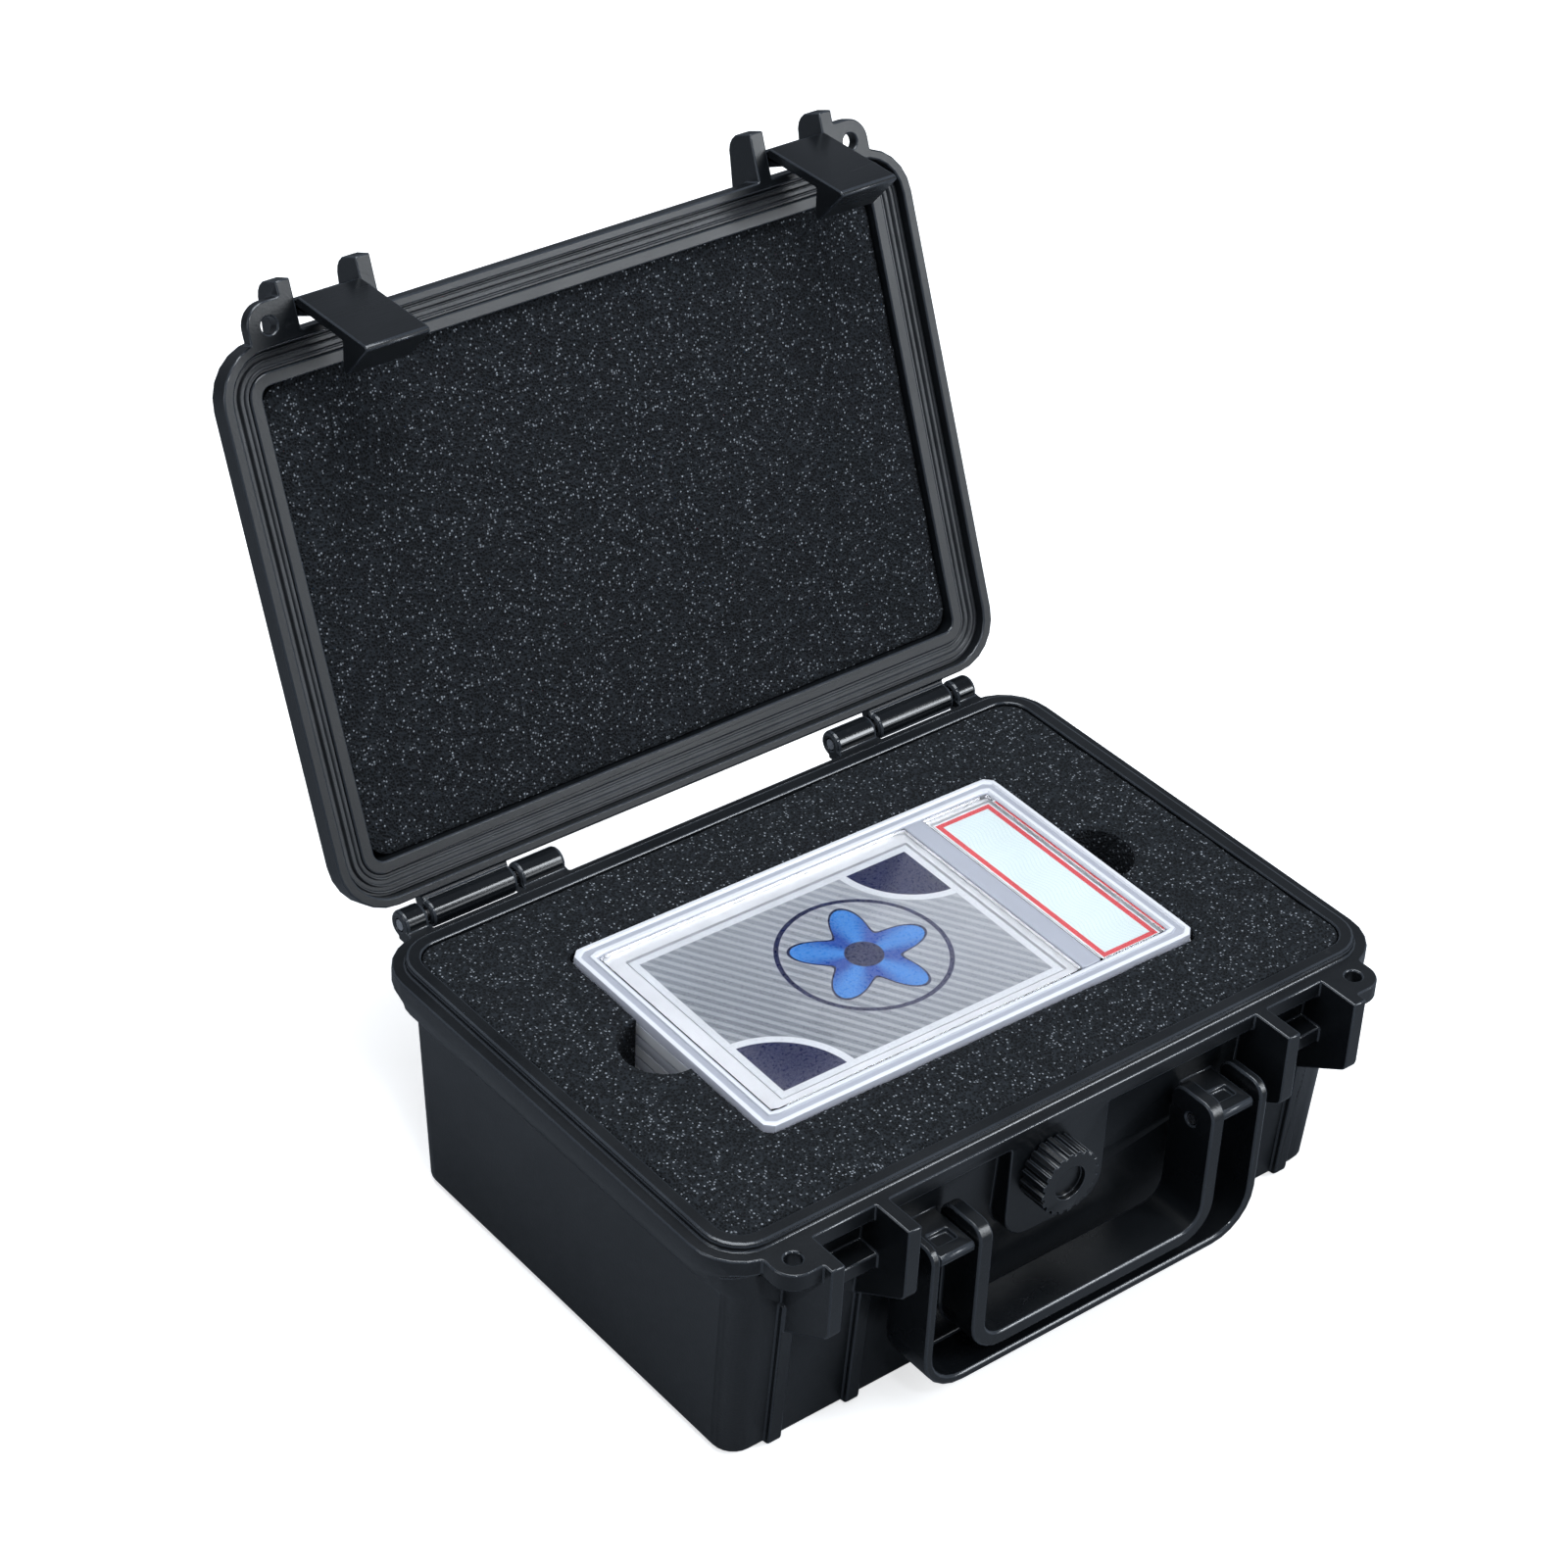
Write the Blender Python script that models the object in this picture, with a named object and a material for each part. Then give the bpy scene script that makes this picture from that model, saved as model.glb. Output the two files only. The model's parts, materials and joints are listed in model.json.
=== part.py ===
# Graded card storage case: a latched plastic case, open, with a stack of card slabs in foam.
# Metres, +Z up, -Y to the front. The origin is the middle of the case's flat bottom.
import math

import bmesh
import bpy
from mathutils import Matrix, Vector

# Case outline, shared by the base and the lid
CASE_WIDTH = 0.2130
CASE_DEPTH = 0.1464
CASE_CORNER = 0.0143
LEAST_CORNER = 0.003
ARC_STEPS = 6
BASE_HEIGHT = 0.0703
LID_HEIGHT = 0.020
SEAM_GAP = 0.0003
FLANGE_HEIGHT = 0.0045
LID_FLANGE = 0.0062
SKIRT_DROP = 0.0080
SKIRT_SLANT = 0.0010
SKIRT_END_DROP = 0.0105
SKIRT_END_SLANT = 0.0021
CHAMFER_DROP = 0.017
SIDE_WALL_INSET = 0.0076
FRONT_WALL_INSET = 0.0050
SIDE_DRAFT = 0.029
FRONT_DRAFT = 0.058
WALL_CORNER = 0.007
BOTTOM_ROUND = 0.0020
BOTTOM_SHARES = (0.0, 0.3, 1.0)
SKIRT_CORNER = 0.0123
SKIRT_END_CORNER = 0.0103
LID_ROUND = 0.006
LID_CHAMFER_SHARE = 0.75
LID_OVERHANG = 0.0005
SHELL_WALL = 0.003
CLEAR = 0.0003
OVERRUN = 0.001
EMBED = 0.0012

# Sealing rim
TONGUE_INSET = 0.0034
TONGUE_WIDTH = 0.0040
TONGUE_HEIGHT = 0.0021
TONGUE_BEVEL = 0.0005
GROOVE_INSET = 0.0023
GROOVE_WIDTH = 0.0057
GROOVE_DEPTH = 0.0046
GASKET_CLEAR = 0.0002
GASKET_BED = 0.0008
GASKET_RIDGE = 0.0014
LIP_DROP = 0.0024
LIP_WIDTH = 0.0034

# Latches and the ribs and fins beside them
LATCH_INSET = 0.03415
BAY_WIDTH = 0.0188
INNER_RIB = 0.0040
INNER_FIN = 0.0042
OUTER_RIB = 0.0040
RIB_REACH = 0.0120
RIB_DROP = 0.0222
RIB_SLOPE = math.radians(31)
RIB_ROUND = 0.0028
CATCH_TOP_DROP = 0.0137
CATCH_HEIGHT = 0.0044
CATCH_REACH = 0.0018
PIN_REACH = 0.0049
PIN_RISE = 0.0039
FIN_REACH = 0.0128
FIN_ROUND = 0.0060
FIN_RISE = 0.0113
FIN_BACK_RISE = 0.0140
LATCH_PIN_RADIUS = 0.0011
LATCH_PIN_END = 0.0015
LATCH_SIDE_GAP = 0.0003
LATCH_FACE = 0.0045
LATCH_PLATE = 0.0030
LATCH_BARREL = 0.0022
LATCH_SHOULDER = 0.0023
LATCH_GUSSET = 0.0085
LATCH_LENGTH = 0.0336
LATCH_NOSE_DROP = 0.0248
LATCH_NOSE_REACH = 0.0070
LATCH_HOOK_TOP = 0.0228
LATCH_TIP_BEVEL = 0.0009
LATCH_REST_SWING = math.radians(22.3)

# Padlock tabs
TAB_INSET = 0.0165
TAB_REACH = 0.0031
TAB_RADIUS = 0.0060
TAB_HOLE = 0.00225
BASE_TAB_THICK = 0.0050
LID_TAB_THICK = 0.0037

# Hinges
HINGE_BEHIND = 0.0050
HINGE_RISE = 0.0005
KNUCKLE_RADIUS = 0.0038
KNUCKLE_GAP = 0.0010
KNUCKLE_BEVEL = 0.0007
HINGE_INNER_INSET = 0.0615
HINGE_INNER_SPLIT_INSET = 0.0477
HINGE_OUTER_SPLIT_INSET = 0.0193
HINGE_OUTER_INSET = 0.0122
HINGE_PIN_RADIUS = 0.0015
WEB_THICK = 0.0038
LID_OPEN = math.radians(112.2)

# Handle
HANDLE_PIVOT_REACH = 0.0043
HANDLE_PIVOT_DROP = 0.0196
HANDLE_REACH = 0.0118
HANDLE_THICK = 0.0150
HANDLE_SIDE_GAP = 0.00465
HANDLE_ARM = 0.0188
HANDLE_BOTTOM_DROP = 0.0389
HANDLE_BAR_DROP = 0.0292
HANDLE_INNER_RIM = 0.0042
HANDLE_OUTER_RIM = 0.0025
HANDLE_WEB = 0.0030
HANDLE_INNER_CORNER = 0.0060
HANDLE_OUTER_CORNER = 0.0130
HANDLE_EAR = 0.0076
HANDLE_EAR_ROUND = 0.0042
HANDLE_WEB_DROP = 0.0100
BRACKET_INNER_GAP = 0.0004
BRACKET_OUTER_GAP = 0.0012
BRACKET_REACH = 0.0106
BRACKET_TOP_RISE = 0.0037
BRACKET_FACE = 0.0022
BRACKET_EDGE = 0.0006
BRACKET_DROP = 0.0060
BRACKET_HOLE_LENGTH = 0.0060
BRACKET_HOLE_WIDTH = 0.0040
BRACKET_HOLE_DEPTH = 0.0012
HANDLE_PIN_RADIUS = 0.0014

# Pressure valve, left of the middle by a share of the handle's inner half width
VALVE_SHARE = 0.2394366
VALVE_DROP = 0.0150
KNOB_RADIUS = 0.0091
KNOB_LENGTH = 0.0082
KNOB_TEETH = 20
KNOB_TOOTH = 0.0008
KNOB_TOOTH_SHARES = (0.0, 0.45, 0.55, 0.90)
KNOB_RECESS_RADIUS = 0.00475
KNOB_RECESS_DEPTH = 0.0015
STEM_RADIUS = 0.0024
STEM_REACH = 0.0070
SEAL_RADIUS = 0.0060
SEAL_THICK = 0.0009
SEAL_DEPTH = 0.0021
BUSH_RADIUS = 0.0044
BUSH_LENGTH = 0.0052
PLATE_LEFT_REACH = 0.0122
PLATE_RIGHT_REACH = 0.0191
PLATE_DROP = 0.0342
PLATE_CORNER = 0.0080

# Ribs on the front wall under the latches
WALL_RIB_OUTER_INSET = 0.0221
WALL_RIB_INNER_INSET = 0.0461
WALL_RIB_WIDTH = 0.0040
WALL_RIB_PROUD = 0.0018
WALL_RIB_FOOT = 0.0010
WALL_RIB_ROUND = 0.0014

# Slabs, the sealed plastic holders with a card in each
SLAB_LENGTH = 0.1365
SLAB_WIDTH = 0.0825
SLAB_THICK = 0.00635
SLAB_CORNER = 0.0030
SLAB_TURN = math.radians(-0.95)
SLAB_COUNT = 6
SLAB_PROUD = 0.0008
SLAB_JOIN = 0.0003
SLAB_PANEL_DROP = 0.0005
CARD_LEFT_MARGIN = 0.0115
CARD_RIGHT_MARGIN = 0.0361
CARD_SIDE_MARGIN = 0.0095
CARD_THICK = 0.0004
LABEL_LENGTH = 0.0193
LABEL_END_MARGIN = 0.0057
LABEL_SIDE_MARGIN = 0.00695
SEAT_GAP = 0.0006
SEAT_DEPTH = 0.0012

# Foam
FOAM_TOP_RISE = 0.0023
FOAM_GAP = 0.0004
POCKET_GAP = 0.0005
NOTCH_RADIUS = 0.0115
LID_FOAM_RISE = 0.0042

SIDE = CASE_WIDTH / 2
FRONT = -CASE_DEPTH / 2
SEAM = BASE_HEIGHT + SEAM_GAP
LID_TOP = SEAM + LID_HEIGHT
HINGE_Y = CASE_DEPTH / 2 + HINGE_BEHIND
HINGE_Z = BASE_HEIGHT + HINGE_RISE
HINGE_INNER = SIDE - HINGE_INNER_INSET
HINGE_INNER_SPLIT = SIDE - HINGE_INNER_SPLIT_INSET
HINGE_OUTER_SPLIT = SIDE - HINGE_OUTER_SPLIT_INSET
HINGE_OUTER = SIDE - HINGE_OUTER_INSET
LATCH_X = SIDE - LATCH_INSET
RIB_Y = FRONT - RIB_REACH
CATCH_Y = FRONT - CATCH_REACH
FIN_Y = FRONT - FIN_REACH
PIN_Y = FRONT - PIN_REACH
PIN_Z = BASE_HEIGHT + PIN_RISE
TAB_X = SIDE - TAB_INSET
TAB_Y = FRONT - TAB_REACH
HANDLE_OUTER = LATCH_X - BAY_WIDTH / 2 - INNER_RIB - HANDLE_SIDE_GAP
HANDLE_INNER = HANDLE_OUTER - HANDLE_ARM
HANDLE_PIVOT_Y = FRONT - HANDLE_PIVOT_REACH
HANDLE_PIVOT_Z = BASE_HEIGHT - HANDLE_PIVOT_DROP
HANDLE_Y = FRONT - HANDLE_REACH
HANDLE_BOTTOM = HANDLE_PIVOT_Z - HANDLE_BOTTOM_DROP
HANDLE_BAR_TOP = HANDLE_PIVOT_Z - HANDLE_BAR_DROP
BRACKET_INNER = HANDLE_INNER + HANDLE_INNER_RIM + BRACKET_INNER_GAP
BRACKET_OUTER = HANDLE_OUTER - HANDLE_OUTER_RIM - BRACKET_OUTER_GAP
BRACKET_Y = FRONT - BRACKET_REACH
VALVE_X = -VALVE_SHARE * HANDLE_INNER
VALVE_Z = BASE_HEIGHT - VALVE_DROP
BUSH_BACK = FRONT + BUSH_LENGTH
PLATE_LEFT = VALVE_X - PLATE_LEFT_REACH
PLATE_RIGHT = VALVE_X + PLATE_RIGHT_REACH
PLATE_BOTTOM = BASE_HEIGHT - PLATE_DROP
WALL_RIB_OUTER_X = SIDE - WALL_RIB_OUTER_INSET
WALL_RIB_INNER_X = SIDE - WALL_RIB_INNER_INSET
FOAM_TOP = BASE_HEIGHT + FOAM_TOP_RISE
STACK_STEP = SLAB_THICK + SLAB_JOIN
PAD_TOP = FOAM_TOP + SLAB_PROUD - SLAB_COUNT * STACK_STEP
LATCH_WIDTH = BAY_WIDTH - 2 * LATCH_SIDE_GAP
CARD_LENGTH = SLAB_LENGTH - CARD_LEFT_MARGIN - CARD_RIGHT_MARGIN
CARD_WIDTH = SLAB_WIDTH - 2 * CARD_SIDE_MARGIN
CARD_X = (CARD_LEFT_MARGIN - CARD_RIGHT_MARGIN) / 2
LABEL_WIDTH = SLAB_WIDTH - 2 * LABEL_SIDE_MARGIN
LABEL_X = (SLAB_LENGTH - LABEL_LENGTH) / 2 - LABEL_END_MARGIN


# Scene and collections

def clear_scene():
    for thing in list(bpy.data.objects):
        bpy.data.objects.remove(thing, do_unlink=True)


def make_collection(name):
    group = bpy.data.collections.new(name)
    bpy.context.scene.collection.children.link(group)
    return group


clear_scene()
PARTS = make_collection("graded_card_storage_case")
CUTTERS = make_collection("cutters")


def material(name, colour, roughness, metallic=0.0):
    made = bpy.data.materials.new(name)
    made.use_nodes = True
    shader = made.node_tree.nodes["Principled BSDF"]
    shader.inputs["Base Color"].default_value = (*colour, 1.0)
    shader.inputs["Roughness"].default_value = roughness
    shader.inputs["Metallic"].default_value = metallic
    made.diffuse_color = (*colour, 1.0)
    return made


# Object helpers

def add_object(name, mesh, group=PARTS, look=None, parent=None):
    made = bpy.data.objects.new(name, mesh)
    group.objects.link(made)
    if look:
        mesh.materials.append(look)
    if parent:
        made.parent = parent
    if group is CUTTERS:
        made.hide_render = True
        made.display_type = "WIRE"
    return made


def add_empty(name, place, tilt=0.0, parent=None):
    made = bpy.data.objects.new(name, None)
    PARTS.objects.link(made)
    made.location = place
    made.rotation_euler = (tilt, 0, 0)
    made.parent = parent
    return made


def shift_to(mesh, origin):
    mesh.transform(Matrix.Translation(-Vector(origin)))
    return mesh


def finish_mesh(name, bm):
    bmesh.ops.recalc_face_normals(bm, faces=bm.faces)
    mesh = bpy.data.meshes.new(name)
    bm.to_mesh(mesh)
    bm.free()
    return mesh


def smooth(thing, angle=math.radians(35)):
    thing.data.shade_smooth()
    thing.data.set_sharp_from_angle(angle=angle)


def boolean(thing, tool, operation):
    step = thing.modifiers.new(tool.name, "BOOLEAN")
    step.operation = operation
    step.object = tool
    return step


def join(thing, tools):
    for tool in tools:
        boolean(thing, tool, "UNION")


def cut(thing, tools):
    for tool in tools:
        boolean(thing, tool, "DIFFERENCE")


# Rounded-rectangle rings, and lofts and closed bands through them

def ring(half_x, half_y, corner, z, turn=0.0, steps=ARC_STEPS, centre=(0.0, 0.0)):
    points = []
    for quarter in range(4):
        sign_x = 1 if quarter in (0, 3) else -1
        sign_y = 1 if quarter in (0, 1) else -1
        for step in range(steps + 1):
            angle = (quarter + step / steps) * math.pi / 2
            x = sign_x * (half_x - corner) + corner * math.cos(angle)
            y = sign_y * (half_y - corner) + corner * math.sin(angle)
            turned_x = x * math.cos(turn) - y * math.sin(turn)
            turned_y = x * math.sin(turn) + y * math.cos(turn)
            points.append((turned_x + centre[0], turned_y + centre[1], z))
    return points


def case_ring(inset_x, inset_y, z, corner=None):
    if corner is None:
        corner = max(CASE_CORNER - max(inset_x, inset_y), LEAST_CORNER)
    return ring(CASE_WIDTH / 2 - inset_x, CASE_DEPTH / 2 - inset_y, corner, z)


def loft(name, rings, closed=False):
    bm = bmesh.new()
    rows = [[bm.verts.new(point) for point in points] for points in rings]
    count = len(rows[0])
    pairs = list(zip(rows, rows[1:]))
    if closed:
        pairs.append((rows[-1], rows[0]))
    for lower, upper in pairs:
        for i in range(count):
            j = (i + 1) % count
            bm.faces.new((lower[i], lower[j], upper[j], upper[i]))
    if not closed:
        bm.faces.new(list(reversed(rows[0])))
        bm.faces.new(rows[-1])
    return finish_mesh(name, bm)


def box_mesh(name, low, high):
    bm = bmesh.new()
    bmesh.ops.create_cube(bm, size=1.0)
    size = [high[i] - low[i] for i in range(3)]
    middle = [(high[i] + low[i]) / 2 for i in range(3)]
    bmesh.ops.scale(bm, vec=size, verts=bm.verts)
    bmesh.ops.translate(bm, vec=middle, verts=bm.verts)
    return finish_mesh(name, bm)


def rod_mesh(name, radius, start, end, sides=24):
    start = Vector(start)
    end = Vector(end)
    bm = bmesh.new()
    bmesh.ops.create_cone(bm, cap_ends=True, segments=sides, radius1=radius, radius2=radius,
                          depth=(end - start).length)
    turn = (end - start).to_track_quat("Z", "Y").to_matrix().to_4x4()
    bmesh.ops.transform(bm, matrix=Matrix.Translation((start + end) / 2) @ turn, verts=bm.verts)
    return finish_mesh(name, bm)


# A round barrel along X on the hinge's axis, with bevelled ends
def barrel_mesh(name, radius, bevel, x0, x1, sides=24):
    rings = []
    for x, reach in ((x0, radius - bevel), (x0 + bevel, radius), (x1 - bevel, radius), (x1, radius - bevel)):
        turns = [2 * math.pi * i / sides for i in range(sides)]
        rings.append([(x, HINGE_Y + reach * math.cos(t), HINGE_Z + reach * math.sin(t)) for t in turns])
    return loft(name, rings)


# A side outline in Y and Z, extruded along X
def side_mesh(name, outline, x0, x1):
    bm = bmesh.new()
    left = [bm.verts.new((x0, y, z)) for y, z in outline]
    face = bm.faces.new(left)
    made = bmesh.ops.extrude_face_region(bm, geom=[face])
    moved = [v for v in made["geom"] if isinstance(v, bmesh.types.BMVert)]
    bmesh.ops.translate(bm, vec=(x1 - x0, 0, 0), verts=moved)
    return finish_mesh(name, bm)


# An outline in X and Y or X and Z, extruded along the third axis
def flat_mesh(name, outline, low, high, axis="Z"):
    bm = bmesh.new()
    place = (lambda a, b: (a, b, low)) if axis == "Z" else (lambda a, b: (a, low, b))
    face = bm.faces.new([bm.verts.new(place(a, b)) for a, b in outline])
    made = bmesh.ops.extrude_face_region(bm, geom=[face])
    moved = [v for v in made["geom"] if isinstance(v, bmesh.types.BMVert)]
    reach = high - low
    bmesh.ops.translate(bm, vec=(0, 0, reach) if axis == "Z" else (0, reach, 0), verts=moved)
    return finish_mesh(name, bm)


def arc(centre, radius, start, end, steps=6):
    turns = [math.radians(start + (end - start) * i / steps) for i in range(steps + 1)]
    return [(centre[0] + radius * math.cos(t), centre[1] + radius * math.sin(t)) for t in turns]


def wall_half_x(z):
    return CASE_WIDTH / 2 - SIDE_WALL_INSET - SIDE_DRAFT * (BASE_HEIGHT - CHAMFER_DROP - z)


def wall_half_y(z):
    return CASE_DEPTH / 2 - FRONT_WALL_INSET - FRONT_DRAFT * (BASE_HEIGHT - CHAMFER_DROP - z)


def wall_inset_y(z):
    return CASE_DEPTH / 2 - wall_half_y(z)


# Base shell

def base_body():
    rings = []
    for share in BOTTOM_SHARES:
        angle = share * math.pi / 2
        inset = BOTTOM_ROUND * (1 - math.sin(angle))
        z = BOTTOM_ROUND * (1 - math.cos(angle))
        rings.append(ring(wall_half_x(z) - inset, wall_half_y(z) - inset, WALL_CORNER - inset, z))
    low = BASE_HEIGHT - CHAMFER_DROP
    end = BASE_HEIGHT - SKIRT_END_DROP
    high = BASE_HEIGHT - SKIRT_DROP
    rings.append(ring(wall_half_x(low), wall_half_y(low), WALL_CORNER, low))
    rings.append(case_ring(SKIRT_END_SLANT, wall_inset_y(end), end, SKIRT_END_CORNER))
    rings.append(case_ring(SKIRT_SLANT, wall_inset_y(high), high, SKIRT_CORNER))
    rings.append(case_ring(0, 0, BASE_HEIGHT - FLANGE_HEIGHT))
    rings.append(case_ring(0, 0, BASE_HEIGHT))
    rings.append(case_ring(TONGUE_INSET, TONGUE_INSET, BASE_HEIGHT))
    rings.append(case_ring(TONGUE_INSET, TONGUE_INSET, BASE_HEIGHT + TONGUE_HEIGHT - TONGUE_BEVEL))
    rings.append(case_ring(TONGUE_INSET + TONGUE_BEVEL, TONGUE_INSET + TONGUE_BEVEL,
                           BASE_HEIGHT + TONGUE_HEIGHT))
    return loft("base_shell", rings)


# Half sizes of the hollow at its turning heights, drawn in by a clearance
def cavity_levels(shrink):
    inner = TONGUE_INSET + TONGUE_WIDTH + shrink
    upper = BASE_HEIGHT - FLANGE_HEIGHT - SHELL_WALL
    low = BASE_HEIGHT - CHAMFER_DROP
    top = BASE_HEIGHT + TONGUE_HEIGHT + OVERRUN
    wall = SHELL_WALL + shrink
    return [(SHELL_WALL, wall_half_x(SHELL_WALL) - wall, wall_half_y(SHELL_WALL) - wall),
            (low, wall_half_x(low) - wall, wall_half_y(low) - wall),
            (upper, CASE_WIDTH / 2 - inner, CASE_DEPTH / 2 - inner),
            (top, CASE_WIDTH / 2 - inner, CASE_DEPTH / 2 - inner)]


def cavity_level(levels, z):
    for (z0, x0, y0), (z1, x1, y1) in zip(levels, levels[1:]):
        if z <= z1:
            share = (z - z0) / (z1 - z0)
            return x0 + (x1 - x0) * share, y0 + (y1 - y0) * share
    return levels[-1][1], levels[-1][2]


def cavity_block(name, shrink, bottom, top):
    levels = cavity_levels(shrink)
    corner = CASE_CORNER - TONGUE_INSET - TONGUE_WIDTH - shrink
    heights = [bottom] + [level[0] for level in levels if bottom < level[0] < top] + [top]
    rings = []
    for z in heights:
        half_x, half_y = cavity_level(levels, z)
        rings.append(ring(half_x, half_y, corner, z))
    return loft(name, rings)


# A rib's lower edge slopes down from its rounded front corner to the wall
def latch_rib_outline():
    bottom = BASE_HEIGHT - RIB_DROP
    back = -wall_half_y(bottom) + EMBED
    corner = arc((RIB_Y + RIB_ROUND, bottom + RIB_ROUND), RIB_ROUND, 180, 270 - math.degrees(RIB_SLOPE), 4)
    end_y, end_z = corner[-1]
    low = end_z - (back - end_y) * math.tan(RIB_SLOPE)
    return [(back, BASE_HEIGHT), (RIB_Y, BASE_HEIGHT)] + corner + [(back, low)]


def latch_fin_outline():
    back = -CASE_DEPTH / 2 + FRONT_WALL_INSET + EMBED
    corner = arc((FIN_Y + FIN_ROUND, SEAM + FIN_RISE - FIN_ROUND), FIN_ROUND, 180, 90, 5)
    return [(back, SEAM), (FIN_Y, SEAM)] + corner + [(back, SEAM + FIN_BACK_RISE)]


def bay_plates(side, inner_thick):
    half = BAY_WIDTH / 2
    inner = LATCH_X - half
    outer = LATCH_X + half
    spans = [(inner - inner_thick, inner), (outer, outer + OUTER_RIB)]
    return [(min(side * a, side * b), max(side * a, side * b)) for a, b in spans]


def latch_ribs():
    tools = []
    for side in (-1, 1):
        for x0, x1 in bay_plates(side, INNER_RIB):
            mesh = side_mesh("latch_rib", latch_rib_outline(), x0, x1)
            tools.append(add_object("latch_rib", mesh, CUTTERS))
        top = BASE_HEIGHT - CATCH_TOP_DROP
        reach = BAY_WIDTH / 2 + EMBED
        mesh = box_mesh("catch_bar", (side * LATCH_X - reach, CATCH_Y, top - CATCH_HEIGHT),
                        (side * LATCH_X + reach, -wall_half_y(top) + EMBED, top))
        tools.append(add_object("catch_bar", mesh, CUTTERS))
    return tools


def latch_fins():
    tools = []
    for side in (-1, 1):
        for x0, x1 in bay_plates(side, INNER_FIN):
            mesh = side_mesh("latch_fin", latch_fin_outline(), x0, x1)
            tools.append(add_object("latch_fin", mesh, CUTTERS))
    return tools


# A tab runs from the outer rib to its rounded outer corner, with its hole cut afterwards
def tab_outline(side):
    back = FRONT + CASE_CORNER / 2
    inner = LATCH_X + BAY_WIDTH / 2 + OUTER_RIB - EMBED
    corner = arc((TAB_X, TAB_Y), TAB_RADIUS, 270, 360, 8)
    outline = [(inner, back), (inner, TAB_Y - TAB_RADIUS)] + corner + [(TAB_X + TAB_RADIUS, back)]
    return [(side * x, y) for x, y in outline]


def tabs(name, low, high):
    return [add_object(name, flat_mesh(name, tab_outline(side), low, high), CUTTERS) for side in (-1, 1)]


def tab_holes(name, low, high):
    tools = []
    for side in (-1, 1):
        x = side * TAB_X
        mesh = rod_mesh(name, TAB_HOLE, (x, TAB_Y, low - OVERRUN), (x, TAB_Y, high + OVERRUN))
        tools.append(add_object(name, mesh, CUTTERS))
    return tools


# A knuckle is a short barrel on the hinge's axis with a web to its shell
def knuckle(name, x0, x1, web_low, web_high):
    barrel = barrel_mesh(name, KNUCKLE_RADIUS, KNUCKLE_BEVEL, x0, x1)
    web = box_mesh(name + "_web", (x0, CASE_DEPTH / 2 - EMBED, web_low), (x1, HINGE_Y, web_high))
    return [add_object(name, barrel, CUTTERS), add_object(name + "_web", web, CUTTERS)]


def base_knuckles():
    tools = []
    low = BASE_HEIGHT - WEB_THICK
    for side in (-1, 1):
        for a, b in ((HINGE_INNER, HINGE_INNER_SPLIT), (HINGE_OUTER_SPLIT, HINGE_OUTER)):
            x0, x1 = sorted((side * a, side * b))
            tools += knuckle("base_knuckle", x0, x1, low, BASE_HEIGHT)
    return tools


def lid_knuckles():
    tools = []
    for side in (-1, 1):
        x0, x1 = sorted((side * (HINGE_INNER_SPLIT + KNUCKLE_GAP), side * (HINGE_OUTER_SPLIT - KNUCKLE_GAP)))
        tools += knuckle("lid_knuckle", x0, x1, SEAM + CLEAR, SEAM + WEB_THICK)
    return tools


def hinge_bores():
    tools = []
    for side in (-1, 1):
        start = (side * (HINGE_INNER - OVERRUN), HINGE_Y, HINGE_Z)
        end = (side * (HINGE_OUTER + OVERRUN), HINGE_Y, HINGE_Z)
        mesh = rod_mesh("hinge_bore", HINGE_PIN_RADIUS + CLEAR, start, end, 16)
        tools.append(add_object("hinge_bore", mesh, CUTTERS))
    return tools


def brackets():
    tools = []
    top = HANDLE_PIVOT_Z + BRACKET_TOP_RISE
    bottom = HANDLE_PIVOT_Z - BRACKET_DROP
    for side in (-1, 1):
        x0, x1 = sorted((side * BRACKET_INNER, side * BRACKET_OUTER))
        back = -wall_half_y(bottom) + EMBED
        slope = top - BRACKET_FACE - bottom
        outline = [(back, top), (BRACKET_Y + BRACKET_EDGE, top), (BRACKET_Y, top - BRACKET_EDGE),
                   (BRACKET_Y, bottom + slope), (BRACKET_Y + slope, bottom), (back, bottom)]
        tools.append(add_object("handle_bracket", side_mesh("handle_bracket", outline, x0, x1), CUTTERS))
    return tools


def bracket_cuts():
    tools = []
    top = HANDLE_PIVOT_Z + BRACKET_TOP_RISE
    half_x = BRACKET_HOLE_LENGTH / 2
    half_y = BRACKET_HOLE_WIDTH / 2
    for side in (-1, 1):
        middle = side * (BRACKET_INNER + BRACKET_OUTER) / 2
        mesh = box_mesh("bracket_pocket",
                        (middle - half_x, HANDLE_PIVOT_Y - half_y, top - BRACKET_HOLE_DEPTH),
                        (middle + half_x, HANDLE_PIVOT_Y + half_y, top + OVERRUN))
        tools.append(add_object("bracket_pocket", mesh, CUTTERS))
        mesh = rod_mesh("bracket_bore", HANDLE_PIN_RADIUS + CLEAR,
                        (side * (BRACKET_INNER - OVERRUN), HANDLE_PIVOT_Y, HANDLE_PIVOT_Z),
                        (side * (BRACKET_OUTER + OVERRUN), HANDLE_PIVOT_Y, HANDLE_PIVOT_Z), 16)
        tools.append(add_object("bracket_bore", mesh, CUTTERS))
    return tools


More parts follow.
